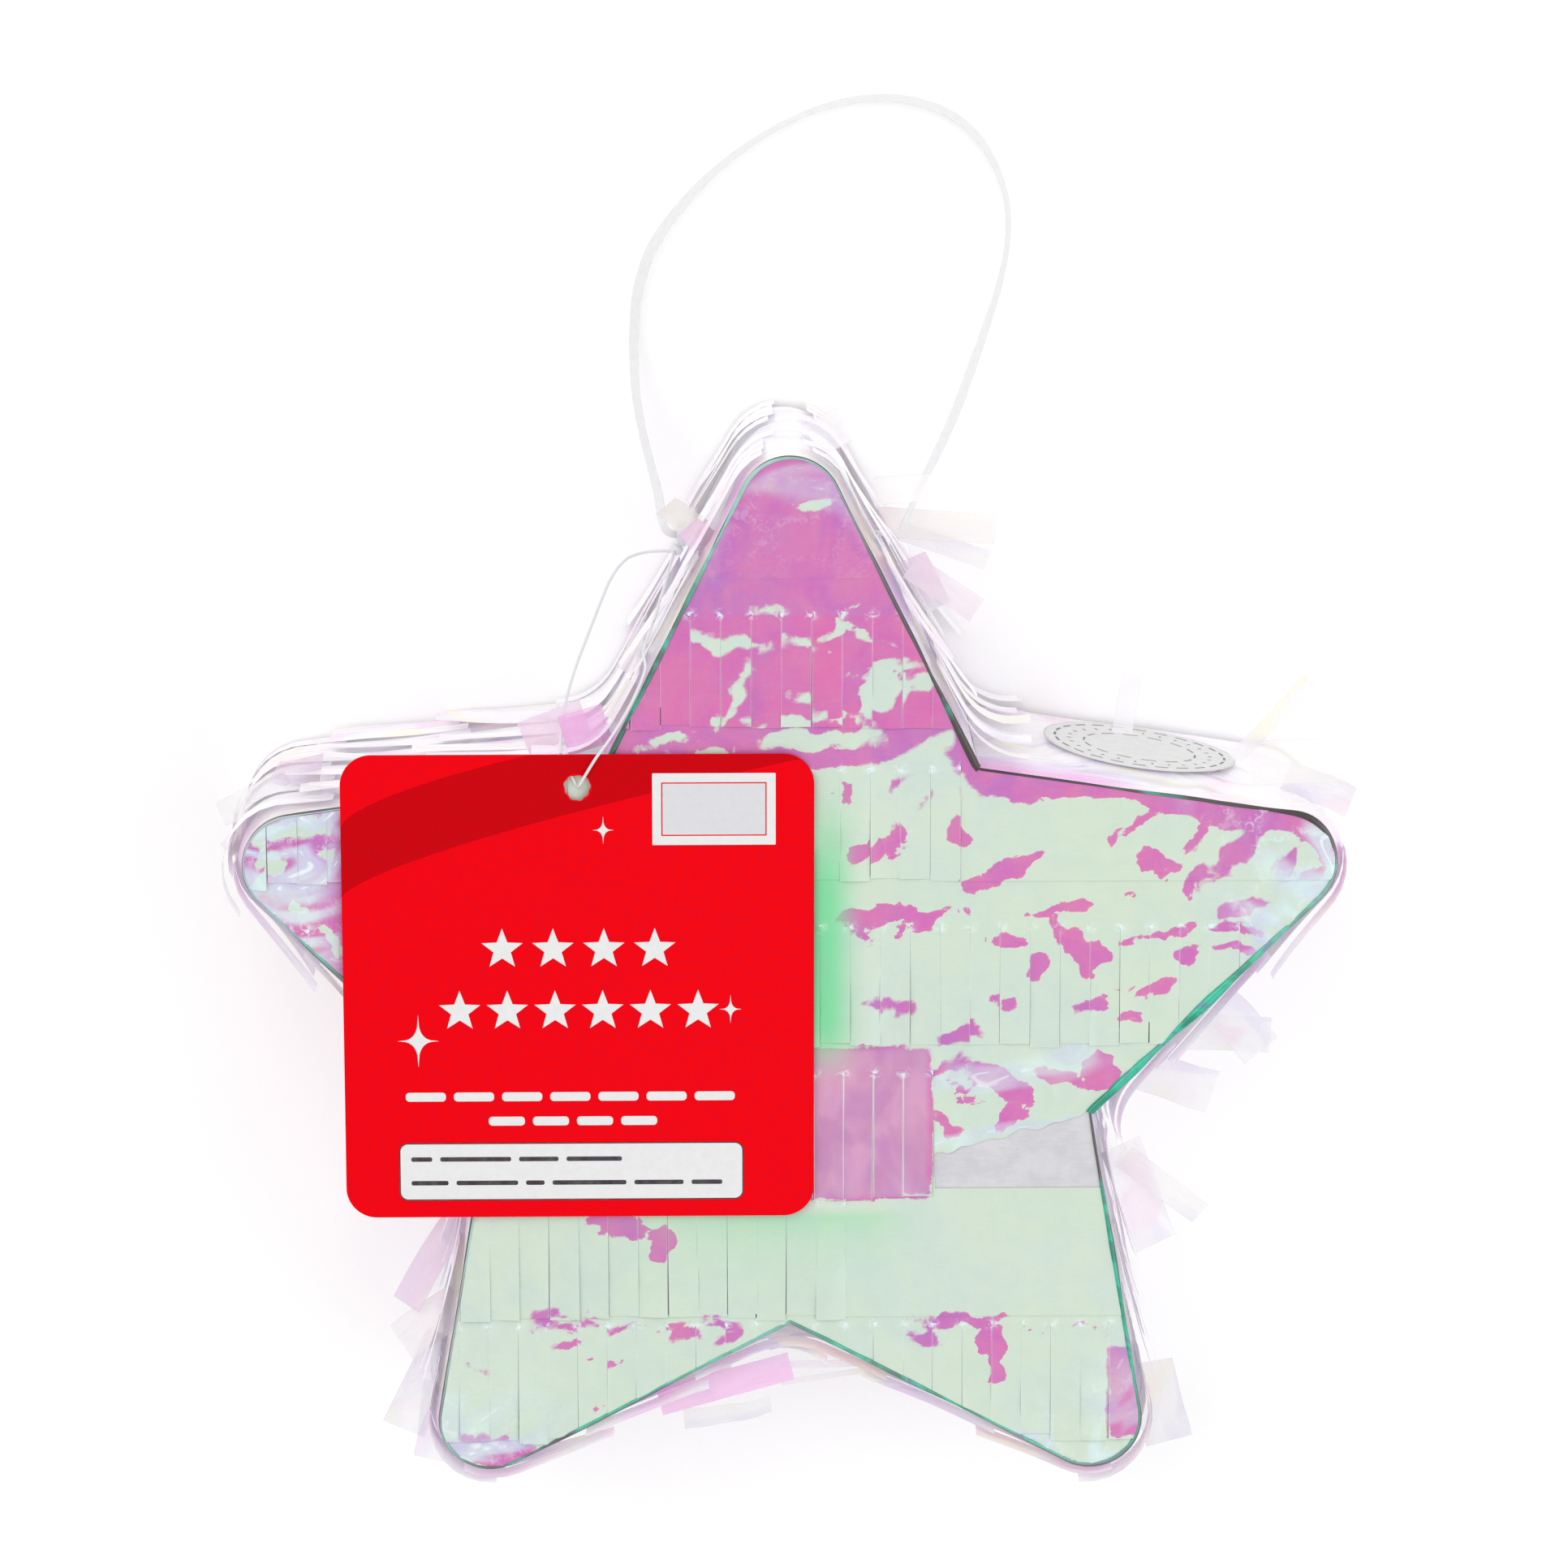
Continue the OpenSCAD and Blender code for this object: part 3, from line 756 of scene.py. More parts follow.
class PINATA_OT_cords(bpy.types.Operator):
    """The satin hanging ribbon and the tag's thread"""
    bl_idname = "pinata.cords"
    bl_label = "Ribbon and thread"

    def execute(self, context):
        path = along_curve(RIBBON_ROUTE, 1.0)
        s = distances(path)
        t = np.gradient(path, axis=0)
        t /= np.linalg.norm(t, axis=1, keepdims=True)
        side = np.cross(t, np.array([0.0, 0.0, 1.0]))
        side /= np.linalg.norm(side, axis=1, keepdims=True)
        rise = np.cross(side, t)
        lean = 0.42 + 0.16 * np.sin(s / 23.0) + 0.10 * np.sin(s / 9.0 + 1.0)
        across = np.cos(lean)[:, None] * rise + np.sin(lean)[:, None] * side
        a = circle(14)
        flat = np.stack([1.48 * np.sign(np.cos(a)) * np.abs(np.cos(a)) ** 0.45,
                         0.17 * np.sign(np.sin(a)) * np.abs(np.sin(a)) ** 0.7], -1)
        rings = capped(sweep(path, flat, across))
        ribbon = new_piece("satin_ribbon", rings, grid_quads(len(rings), len(flat), loop_cols=True),
                           material("satin_ribbon_white"), "ribbon", "satin_ribbon",
                           {"lay": tube_lay(s, flat[:, 0])}, weld=0.001, closed=True)
        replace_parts(ribbon, "hanging_ribbon")

        path = along_curve(THREAD_ROUTE, 0.8)
        s = distances(path)
        a = circle(10)
        rings = capped(sweep(path, polar(0.25, a), np.tile([0.8, -0.6, 0.0], (len(path), 1))))
        thread = new_piece("tag_thread_line", rings, grid_quads(len(rings), len(a), loop_cols=True),
                           material("thread_clear_white"), "star_body", "clear_thread",
                           {"lay": tube_lay(s, a)}, weld=0.001, closed=True)
        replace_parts(thread, "tag_thread")
        return {"FINISHED"}


# Patches where the film lies tight and is painted magenta for its reflection, in mm:
# middle x and y, half length, half width, heading in degrees
PINK = [
    (55.5, 23.8, 4.2, 1.0, 30), (58.6, 18, 4, 1.8, -25), (60, 15.2, 1.8, 0.8, -60),
    (66.2, 22.4, 5, 1.1, 42), (72.4, 20, 11, 2.1, 42), (79.5, 17.5, 5.4, 1.0, 62),
    (73.8, 10.3, 6, 1.6, 12), (43.8, 10.3, 4.6, 1.1, 15), (45.4, 5.2, 5.8, 1.9, -45),
    (54.2, 13.1, 1.9, 0.5, 15), (84.4, 16, 2.6, 1.1, 30), (34.8, 29.8, 6, 2.1, -8),
    (34.1, 16.4, 7, 1.5, 25), (26.9, 23.2, 2.6, 1.6, -50), (17.8, 31.2, 3, 1.2, 40),
    (8.7, 29.8, 2.6, 1.5, -30), (11.9, 19.8, 3.6, 1.5, 30), (17.1, 23.1, 3, 1.2, 60),
    (20.4, 28.5, 2.4, 1.2, 35), (16.4, 9.3, 10.5, 1.6, 2), (11.5, 6.1, 3, 1.3, -30),
    (18, 6.2, 2.6, 1.0, 40), (34.9, 5.2, 2.7, 1.5, 0), (40.1, 1, 2.3, 2.1, 60),
    (49.3, 1.7, 2.3, 3.2, 0), (55.2, 5, 2, 1.0, 0), (61.1, 6, 5.2, 1.1, 18),
    (64, 2.8, 2.4, 1.6, 0), (71.6, 7, 3.8, 0.8, -5), (71.5, 3.6, 4.6, 1.2, 0),
    (15.2, -5.7, 2.6, 1.0, 10), (19.2, -6.6, 2.4, 1.4, -50), (34.3, -5.3, 2.2, 1.1, 10),
    (48.7, -5.2, 2.6, 1.0, 15), (58.6, -3, 6, 1.2, 10), (56, -7.2, 2.6, 1.0, 30),
    (27.1, -10.8, 5.0, 1.7, 0), (33.6, -18.3, 8.6, 1.8, -28), (42.8, -17.6, 6.6, 1.4, -18),
    (28.5, -21.6, 3.2, 0.8, 3), (28, -19.4, 2.4, 0.7, -20), (25.4, -25.8, 3.6, 1.2, -20),
    (35.8, -24.6, 3.2, 1.9, 35), (50.6, -16.5, 3.0, 3.4, 0), (24.5, -16.4, 3.6, 0.8, 35),
    (-28.3, -42.6, 4.6, 2.2, -6), (-21.3, -46.2, 2.1, 3.2, 0), (-39, -59.2, 5.5, 1.1, 5),
    (-28.4, -60, 8, 0.5, 0), (-19.1, -59.9, 4, 0.6, 0), (-11.6, -59.6, 3, 0.7, 0),
    (-36.4, -62.9, 4, 0.9, 20), (-52.3, -66.3, 2.4, 0.5, -50), (-16.2, -61.6, 3.4, 1.1, 10),
    (-11, -61.8, 2.6, 1.0, 12), (-10.4, -66, 2.6, 0.8, 0), (-31, -74.6, 1.6, 1.1, 30),
    (-31.5, -66, 3.4, 0.4, 0), (-51.3, -81, 8.5, 2.6, -10), (27.7, -59.2, 8.6, 1.1, 1),
    (22, -61.8, 2.8, 1.5, 10), (33.3, -64.3, 2.4, 4.3, 0), (39.5, -60.2, 1.8, 0.5, 0),
    (48, -60.7, 2.6, 0.5, 0)]
# Patches in the magenta top arm and left point where the film stands off and stays mint,
# without the painted reflection
MINT = [
    (4.0, 77, 2.4, 0.5, 0), (-8.9, 54.2, 5.6, 0.8, -5), (-9.1, 44.6, 4.8, 0.6, 63),
    (14.2, 45.8, 3.2, 4.4, 0), (20.2, 47, 3.4, 1.2, 10), (4, 38.3, 8.6, 1.5, 3),
    (-4.4, 60.2, 1.4, 0.5, 0), (7, 57, 3.0, 0.6, 45), (6.6, 42.6, 3.2, 0.4, -10),
    (-5.7, 41.9, 1.8, 0.8, 0), (-18.6, 38.2, 4, 0.6, 10), (16.5, 49.6, 4, 0.7, 4),
    (3, 53.6, 2.2, 0.5, -8), (10.5, 56.6, 2.6, 0.4, -30), (-14, 36, 5, 0.5, 5),
    (-84.4, 16.5, 4, 1.1, 50), (-80.6, 23.6, 4.5, 1.1, 10), (-75, 18.5, 2.2, 1.0, 60),
    (-79.5, 10.5, 2.4, 0.8, -20), (-73.5, 5.5, 3, 1.0, -40), (-85.5, 21, 1.8, 0.7, 70)]
# The magenta in these pieces is painted reflection, as in the patches.
# Magenta pieces with straight sides, and the clouded panel over the first: x and y from and to, in mm
PANELS = ((2.5, 22.9, -38.6, -12.6), (51.8, 57.0, -79.5, -64.0))
CLOUDED = (2, 23, -38.6, -12.6)


def blobs(x, y, patches):
    """Over 0 inside any patch: one minus the squashed distance, scaled to mm, greatest of all.

    The patches are bent and pulled about by ripples first, so none is a plain ellipse."""
    x = x + 0.8 * ripples(x, y, 3, 4, 11) + 0.35 * ripples(x, y, 5, 1.6, 4)
    y = y + 0.6 * ripples(x, y, 4, 4, 11) + 0.25 * ripples(x, y, 6, 1.6, 4)
    best = np.full(x.shape, -6.0)
    for cx, cy, long, wide, deg in patches:
        a = math.radians(deg)
        u = ((x - cx) * math.cos(a) + (y - cy) * math.sin(a)) / long
        v = (-(x - cx) * math.sin(a) + (y - cy) * math.cos(a)) / wide
        best = np.maximum(best, wide * (1 - np.sqrt(u * u + v * v + 1e-6)))
    return best


def box_field(x, y, x0, x1, y0, y1):
    """Over 0 inside a box: the distance to its nearest side."""
    return np.minimum(np.minimum(x - x0, x1 - x), np.minimum(y - y0, y1 - y))


def magenta_reflection_field(x, y):
    """Over 0 where the film is magenta, which is painted reflection: the top arm, the left point, a
    band under the right arm's upper edge and the patches, less the mint ones."""
    out, _, _ = star_edge(x, y)
    wave = ripples(x, y, 11, 6, 24)
    arm = (y - 33.8) + np.where(x > 14, (14 - x) * 0.5, 0)
    left = np.minimum(-(x + 69.5) + 1.5 * wave, y + 4)
    upper = np.where((x > 20) & (y > 18), 2.8 + 1.5 * wave + out, -6.0)
    field = np.maximum(np.maximum(arm, left), upper)
    for panel in PANELS:
        field = np.maximum(field, box_field(x, y, *panel))
    field = np.maximum(field, blobs(x, y, PINK))
    return np.minimum(np.clip(field, -6, 6), -blobs(x, y, MINT))


# The bands of film: top edge, top of the slits, lower end, how far right the slits go, in mm
ROWS = [
    (88.0, 66.0, 64.6, -99), (65.6, 58.8, 40.3, 99), (41.2, 33.5, 14.9, 29.5),
    (16.0, 7.2, -12.4, 75), (-9.6, -17.1, -38.1, 23.4), (-34.6, -38.7, -58.4, 7.5),
    (-57.8, -59.8, -79.3, 99)]
BAND_WIDTH = 188.0  # every band is cut from this width, in mm
FRILL = (23.2, -31.2, 0.29)  # the torn edge of the fifth band: from x, its y there and its slope
UNDER_FRILL = -36.6  # where the sixth band starts beside the torn edge, in mm
# How strongly the tag's shade is painted in emerald on the film beside the tag and below it, and at most
TAG_SHADE_BESIDE, TAG_SHADE_BELOW, TAG_SHADE_MOST = 0.8, 0.42, 0.92


def film_row(name, top, slit, low, slit_to, z0, seed, front=True):
    """One band of film. Each strip is its own grid down from the band's top edge; below the slits
    a strip narrows by the gap, bows across its width and lifts along its length, and above them
    the strips join. Points past the star's outline are drawn in to it."""
    film = settings().film
    torn = name == "front_film_5"
    rng = np.random.default_rng(seed)
    n = int(BAND_WIDTH / film.strip)
    u = np.array([-0.5, -0.465, -0.38, -0.2, 0.0, 0.2, 0.38, 0.465, 0.5])
    cols, rows = len(u), max(6, int((top - low) / film.cell))

    # the strips: their middles, their ends and how far each point hangs below the slits
    mid = -BAND_WIDTH / 2 + (seed * 1.7) % 2.0 + (np.arange(n) + 0.5) * film.strip
    if torn:
        mid += FRILL[0] - mid[np.argmin(np.abs(mid - FRILL[0]))] - film.strip / 2
    cut = (mid < slit_to)[:, None].astype(float)
    foot = 0.12 if cut.any() else 0.03
    start = np.where((name == "front_film_6") & (mid > FRILL[0] - 1), UNDER_FRILL, top)
    end = low + rng.normal(0, 0.3, n) * cut[:, 0]
    y = start[:, None] + (end - start)[:, None] * np.linspace(0, 1, rows)[None]
    hang = np.clip((slit - y) / (slit - low), 0, 1) * cut
    loose = hang[..., None]
    slitted = ease(0, 0.35, slit - y) * cut
    wide = film.strip - (film.gap + 0.03 * rng.random(n))[:, None] * slitted
    x = mid[:, None, None] + u * wide[..., None] + rng.normal(0, 0.09, n)[:, None, None] * loose
    y = np.broadcast_to(y[..., None], x.shape).copy()
    frill = FRILL[1] + (x - FRILL[0]) * FRILL[2] + 0.45 * ripples(x, 0 * x, 31, 2.2, 8)
    right = x > FRILL[0]
    ended = (right & (y < frill)) if torn else np.zeros(x.shape, bool)
    y = np.where(ended, frill, y)

    # height over the card: crumpled towards the points, most of all in the arms at the sides
    away = np.hypot(x, y - settings().star.centre_y)
    tipness = ease(67, 86, away) * np.where(np.abs(y) > 40, 0.35, 1.0)
    rough = 0.10 + 0.5 * tipness + (0.22 * right if torn else 0)
    folds = creases(x, y, seed + 90, 7, 16)
    z = 0.03 * ripples(x, y, 7, 9, 30) + rough * (0.16 * ripples(x, y, seed + 50, 3, 9) + 0.55 * folds)
    z = 0.06 + np.maximum(z, 0) * (1 - ease(4.5, 3.0, top - y))
    amount = film.lift * (0.25 + 1.1 * rng.random(n)[:, None] ** 1.6)
    bend = (rng.normal(0, 0.16, n)[:, None, None] * (1 - 4 * u * u)
            + rng.normal(0, 0.16, n)[:, None, None] * 2 * u
            + 0.14 * np.sin(loose * rng.uniform(3, 8, n)[:, None, None]
                            + rng.uniform(0, 6, n)[:, None, None])) * loose
    lift = np.broadcast_to((amount * hang ** 1.5)[..., None], x.shape)
    z = np.maximum(z + lift + bend, 0.06 + foot * ease(5.5, 3.8, y - end[:, None, None]))
    edge = (0.5 - np.abs(u)) * film.strip
    spot = np.exp(-(edge / 0.65) ** 2 - ((y - slit) / 0.6) ** 2) * cut[..., None]
    z = z + 0.22 * spot

    # colour: each strip shifts the patches a little, and the tag's shade on the film by it is painted
    # emerald
    shift = rng.normal(0, 0.8, (2, n))[:, :, None, None] * loose[None]
    pink = magenta_reflection_field(x + shift[0], y + shift[1]) + rng.normal(0, 0.2, n)[:, None, None] * (loose > 0)
    x, y, out = drawn_in(x, y)
    lo, hi = (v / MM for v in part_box("hang_tag"))
    beside = ease(8.5, 2.0, x - hi.x) * ease(-20, -8, y) * ease(34, 12, y) * (x > hi.x - 6)
    below = np.exp(-np.maximum(lo.y - y, 0) / 5) * ease(lo.y + 1, lo.y - 1, y)
    below = below * ease(-40, -2, x) * ease(24, 10, x)
    values = {"pink": pink, "glow": np.clip(TAG_SHADE_BESIDE * beside + TAG_SHADE_BELOW * below, 0, TAG_SHADE_MOST),
              "crinkle": np.clip(1.2 * spot + 0.5 * tipness * folds, 0, 1),
              "veil": ease(0, 1, box_field(x, y, *CLOUDED)) * torn,
              "seam": slitted[..., None] * (np.abs(u) > 0.49),
              "warm": slitted[..., None] * (y > 36) * (0.5 + 0.5 * rng.random(n))[:, None, None],
              "wrinkle": np.clip(0.12 + rough, 0, 1)}
    z = z0 + z if front else np.clip(z0 - 0.3 * z, 0.01, 0.19)
    quads = np.concatenate([grid_quads(rows, cols, first=k * rows * cols) for k in range(n)])
    if front:
        quads = quads[:, ::-1]
    quads = quads[(out.reshape(-1)[quads] < 0.0).any(1) & ~ended.reshape(-1)[quads].all(1)]
    return new_piece(name + "_sheet", np.stack([x, y, z], -1), quads,
                     material("face_film_dichroic"), "star_body", "face_film", values, weld=0.003)


class PINATA_OT_face_film(bpy.types.Operator):
    """Seven overlapping bands of slit film on the front and on the back"""
    bl_idname = "pinata.face_film"
    bl_label = "Face film"

    def execute(self, context):
        depth = settings().star.depth
        for k, (top, slit, low, slit_to) in enumerate(ROWS, 1):
            name = f"front_film_{k}"
            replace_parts(film_row(name, top, slit, low, slit_to, depth - 0.12, 10 + k), name)
            name = f"back_film_{k}"
            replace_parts(film_row(name, top, slit, low, 99, 0.15, 30 + k, front=False), name)
        # under the lowest band a plain sheet closes both legs' points
        parts = Parts()
        x, y = np.meshgrid(np.linspace(-90, 90, 220), np.linspace(-90, -76, 20), indexing="xy")
        px, py, out = drawn_in(x, y)
        folds = creases(x, y, 77, 5, 12)
        z = depth - 0.13 + 0.3 * folds * ease(-78, -81, y)
        quads = grid_quads(*x.shape)
        quads = quads[(out.reshape(-1)[quads] < 0).any(1)]
        parts.add(np.stack([px, py, z], -1), quads, pink=magenta_reflection_field(x, y).ravel(), glow=0.0,
                  crinkle=0.4 * folds.ravel(), veil=0.0, seam=0.0, warm=0.0, wrinkle=0.6)
        parts.piece("front_film_feet", material("face_film_dichroic"), "star_body", "face_film",
                    weld=0.003)
        return {"FINISHED"}


# Each arm's clockwise flank, then its other one, at its inner corner, middle and point:
# how far from dark it is, how pale, and its half width in mm; the dark is partly the card's cut edge
# and partly painted shadow in the gap beside the wall, and the pale is a painted highlight
EDGE_LOOK = [
    (((-0.24, 0.0, 0.55), (0.02, 0.1, 0.24), (0.0, 0.45, 0.16)),
     ((0.12, 0.0, 0.50), (0.12, 0.1, 0.52), (0.14, 0.6, 0.34))),
    (((0.2, 0.9, 0.16), (0.2, 0.8, 0.18), (0.2, 0.7, 0.2)),
     ((-0.06, 0.0, 0.26), (0.04, 0.1, 0.26), (0.12, 0.6, 0.2))),
    (((0.1, 0.7, 0.16), (0.08, 0.6, 0.18), (0.1, 0.5, 0.18)),
     ((0.14, 0.3, 0.26), (0.16, 0.1, 0.36), (0.0, 0.1, 0.32))),
    (((-0.08, 0.2, 0.28), (0.14, 0.1, 0.40), (0.14, 0.3, 0.24)),
     ((-0.16, 0.1, 0.24), (0.16, 0.0, 0.42), (0.2, 0.1, 0.36))),
    (((0.3, 0.0, 0.70), (0.22, 0.0, 0.66), (0.14, 0.3, 0.34)),
     ((-0.2, 0.0, 0.22), (-0.14, 0.1, 0.26), (-0.24, 0.0, 0.52)))]


class PINATA_OT_edges(bpy.types.Operator):
    """The film's turned edge round the front of each point"""
    bl_idname = "pinata.edges"
    bl_label = "Film edges"

    def execute(self, context):
        path, normals, total = wall_path(0.15, 0.0, 0.7)
        a = np.linspace(-0.5 * math.pi, 1.0 * math.pi, 9)
        for k in range(POINTS):
            mid = k * total / POINTS
            s = np.linspace(mid - total / 10, mid + total / 10, 150)
            # walking anticlockwise, an arm's clockwise flank comes before its point
            before, after = (np.array(v) for v in EDGE_LOOK[k])
            look = np.concatenate([before, after[::-1]])
            at = mid + total / 10 * np.array([-1, -0.5, -0.1, 0.1, 0.5, 1])
            tone, pale, r = (np.interp(s, at, look[:, i]) for i in range(3))
            r = r * np.clip(0.9 + 0.28 * ripples(s, 0 * s, 40 + k, 8, 40), 0.45, 1.4)
            off = np.cos(a)[None] * r[:, None]
            x, y = on_path(path, normals, total, s[:, None] + 0 * off, off)
            z = settings().star.depth - 0.05 + np.sin(a)[None] * r[:, None] * 0.8
            values = {"tone": np.broadcast_to(tone[:, None], x.shape),
                      "pale": np.broadcast_to(pale[:, None], x.shape)}
            new_piece(f"film_edge_{k + 1}", np.stack([x, y, z], -1), grid_quads(*x.shape)[:, ::-1],
                      material("edge_film_teal"), "star_body", "face_film", values)
        return {"FINISHED"}


# Strips that stand away from the walls, in mm: root, end, width, tone (pink over 0, cream under)
LOOSE = [
    (13.7, 76.6, 38, 26.2, 77.9, 41, 4.6, -0.1), (14.8, 67.7, 16, 34.4, 66.6, 17, 5.0, -0.45),
    (18.2, 65.9, 13, 33.3, 60.8, 14, 3.2, 0.0), (20.3, 60.9, 20, 31.4, 53.1, 18, 4.4, -0.1),
    (20.8, 61.8, 16, 25.1, 53.0, 15, 4.6, 0.0), (3.5, 85.6, 42, 8.6, 88.4, 44, 6.0, 0.0),
    (72.0, 33.0, 42, 83.9, 46.8, 44, 2.6, 0.0), (74.4, 33.1, 45, 89.6, 33.8, 46, 7.5, -0.25),
    (80.8, 29.3, 38, 91.4, 25.5, 40, 6.0, -0.1), (-80.8, 28.6, 38, -92.2, 24.2, 40, 5.0, -0.1),
    (-84.5, 25.6, 38, -91.4, 18.2, 40, 3.0, 0.0), (-76.0, 30.6, 36, -83.4, 31.2, 40, 6.0, 0.1),
    (69.4, -8.0, 34, 78.2, -18.5, 32, 7.0, 0.0), (64.9, -15.8, 30, 80.2, -17.0, 28, 6.0, 0.0),
    (58.5, -22.9, 28, 70.7, -26.8, 28, 7.5, 0.0), (55.6, -35.5, 36, 68.3, -45.4, 36, 4.2, -0.2),
    (55.0, -33.9, 34, 61.0, -50.5, 36, 8.0, 0.0), (61.0, -74.3, 26, 64.8, -89.0, 24, 8.0, 0.0),
    (-54.0, -44.7, 34, -63.6, -60.3, 36, 5.2, 0.3), (-54.5, -60.5, 34, -64.4, -66.9, 36, 7.0, -0.1),
    (-56.9, -67.8, 30, -64.6, -84.0, 30, 7.5, 0.0), (-57.6, -76.0, 30, -60.0, -88.0, 34, 8.0, 0.0),
    (-21.5, -74.2, 46, 0.2, -68.4, 45, 4.6, 0.75), (-17.5, -78.5, 42, -3.0, -76.5, 41, 5.6, -0.1),
    (17.2, -69.0, 42, -1.4, -69.3, 42, 1.2, 0.1), (17.2, -70.2, 40, -1.4, -73.0, 40, 1.0, 0.05),
    (-36.5, 38.2, 46, -29.4, 40.4, 46, 6.5, 0.85), (-43.0, 37.0, 42, -33.0, 41.2, 44, 5.5, 0.35),
    (-10.4, 66.6, 41, -16.4, 71.6, 42, 5.4, 0.5), (-14.0, 68.6, 32, -19.8, 73.6, 33, 5.0, -0.4),
    (-24.0, 46.0, 44, -27.5, 40.5, 47, 5.0, -0.5), (-22.0, 52.0, 26, -26.5, 45.0, 28, 4.0, -0.35)]


STRIP_COLS = (-0.5, -0.45, -0.15, 0.15, 0.45, 0.5)  # places across a wall strip of width 1
STRIP_ROWS = 14  # places along a loose strip

# Holes in the walls' film, in mm: radius, room that strips leave along the wall and up it, and the
# film's distance from the wall at the rim
FILLING = (14.6, 17.5, 25.5, 1.7)
RIBBON = (2.2, 5.0, 7.0, 0.5)

# Where the walls' film turns pink (over 0) or cream (under 0) by the front: x, y, reach, strength
HOT = [(30, 29, 9, 0.55), (46, 26, 12, 0.75), (60, 24, 8, 0.3), (9, 78, 6, 0.5), (15, 68, 6, -0.4),
       (-31, 38, 8, 0.6), (-50, 32, 8, 0.3), (80, 24, 6, -0.5), (85, 15, 5, 0.5), (72, -1, 8, 0.5),
       (-22, -74, 9, 0.6), (22, -71, 8, -0.3), (8, -66, 6, 0.35), (-86, 16, 6, 0.4),
       (53, -45, 9, 0.2), (-13, 64, 7, -0.4)]


def film_strips(parts, root, end, width, tone, across, seed):
    """Thin film strips. Each runs from root to end, sags or bows a little between them, curls
    about its own length and keeps its width across `across`."""
    rng = np.random.default_rng(seed)
    n = len(root)
    each = np.arange(n)[:, None, None, None]
    t = np.linspace(0, 1, STRIP_ROWS)[None, :, None, None]
    u = np.array(STRIP_COLS)[None, None, :, None]
    cols = len(STRIP_COLS)
    run = end - root
    size = np.linalg.norm(run, axis=1)[:, None, None, None]
    lift = np.cross(run, across)
    lift = (lift / np.linalg.norm(lift, axis=1, keepdims=True))[:, None, None]
    arc = rng.normal(0, 0.05, n)[:, None, None, None] * size * np.sin(math.pi * t)
    ripple = 0.25 * np.sin(t * rng.uniform(5, 12, n)[:, None, None, None]
                           + rng.uniform(0, 6, n)[:, None, None, None])
    twist = rng.normal(0, 0.35, n)[:, None, None, None] * t
    side = across[:, None, None] * np.cos(twist) + lift * np.sin(twist)
    wide = u * width[:, None, None, None]
    p = (root[:, None, None] + run[:, None, None] * t + lift * (arc + ripple * t)
         + side * u * width[:, None, None, None])
    quads = np.concatenate([grid_quads(STRIP_ROWS, cols, first=k * STRIP_ROWS * cols)
                            for k in range(n)])
    lay = np.stack(np.broadcast_arrays((t * size + 30 * each)[..., 0], (wide + 11 * each)[..., 0],
                                       0.0), -1)
    rim = np.broadcast_to((np.abs(u) > 0.49)[..., 0].astype(float), p.shape[:3])
    parts.add(p, quads, lay=lay, tone=np.broadcast_to(tone[:, None, None], p.shape[:3]).ravel(),
              rim=rim.ravel())


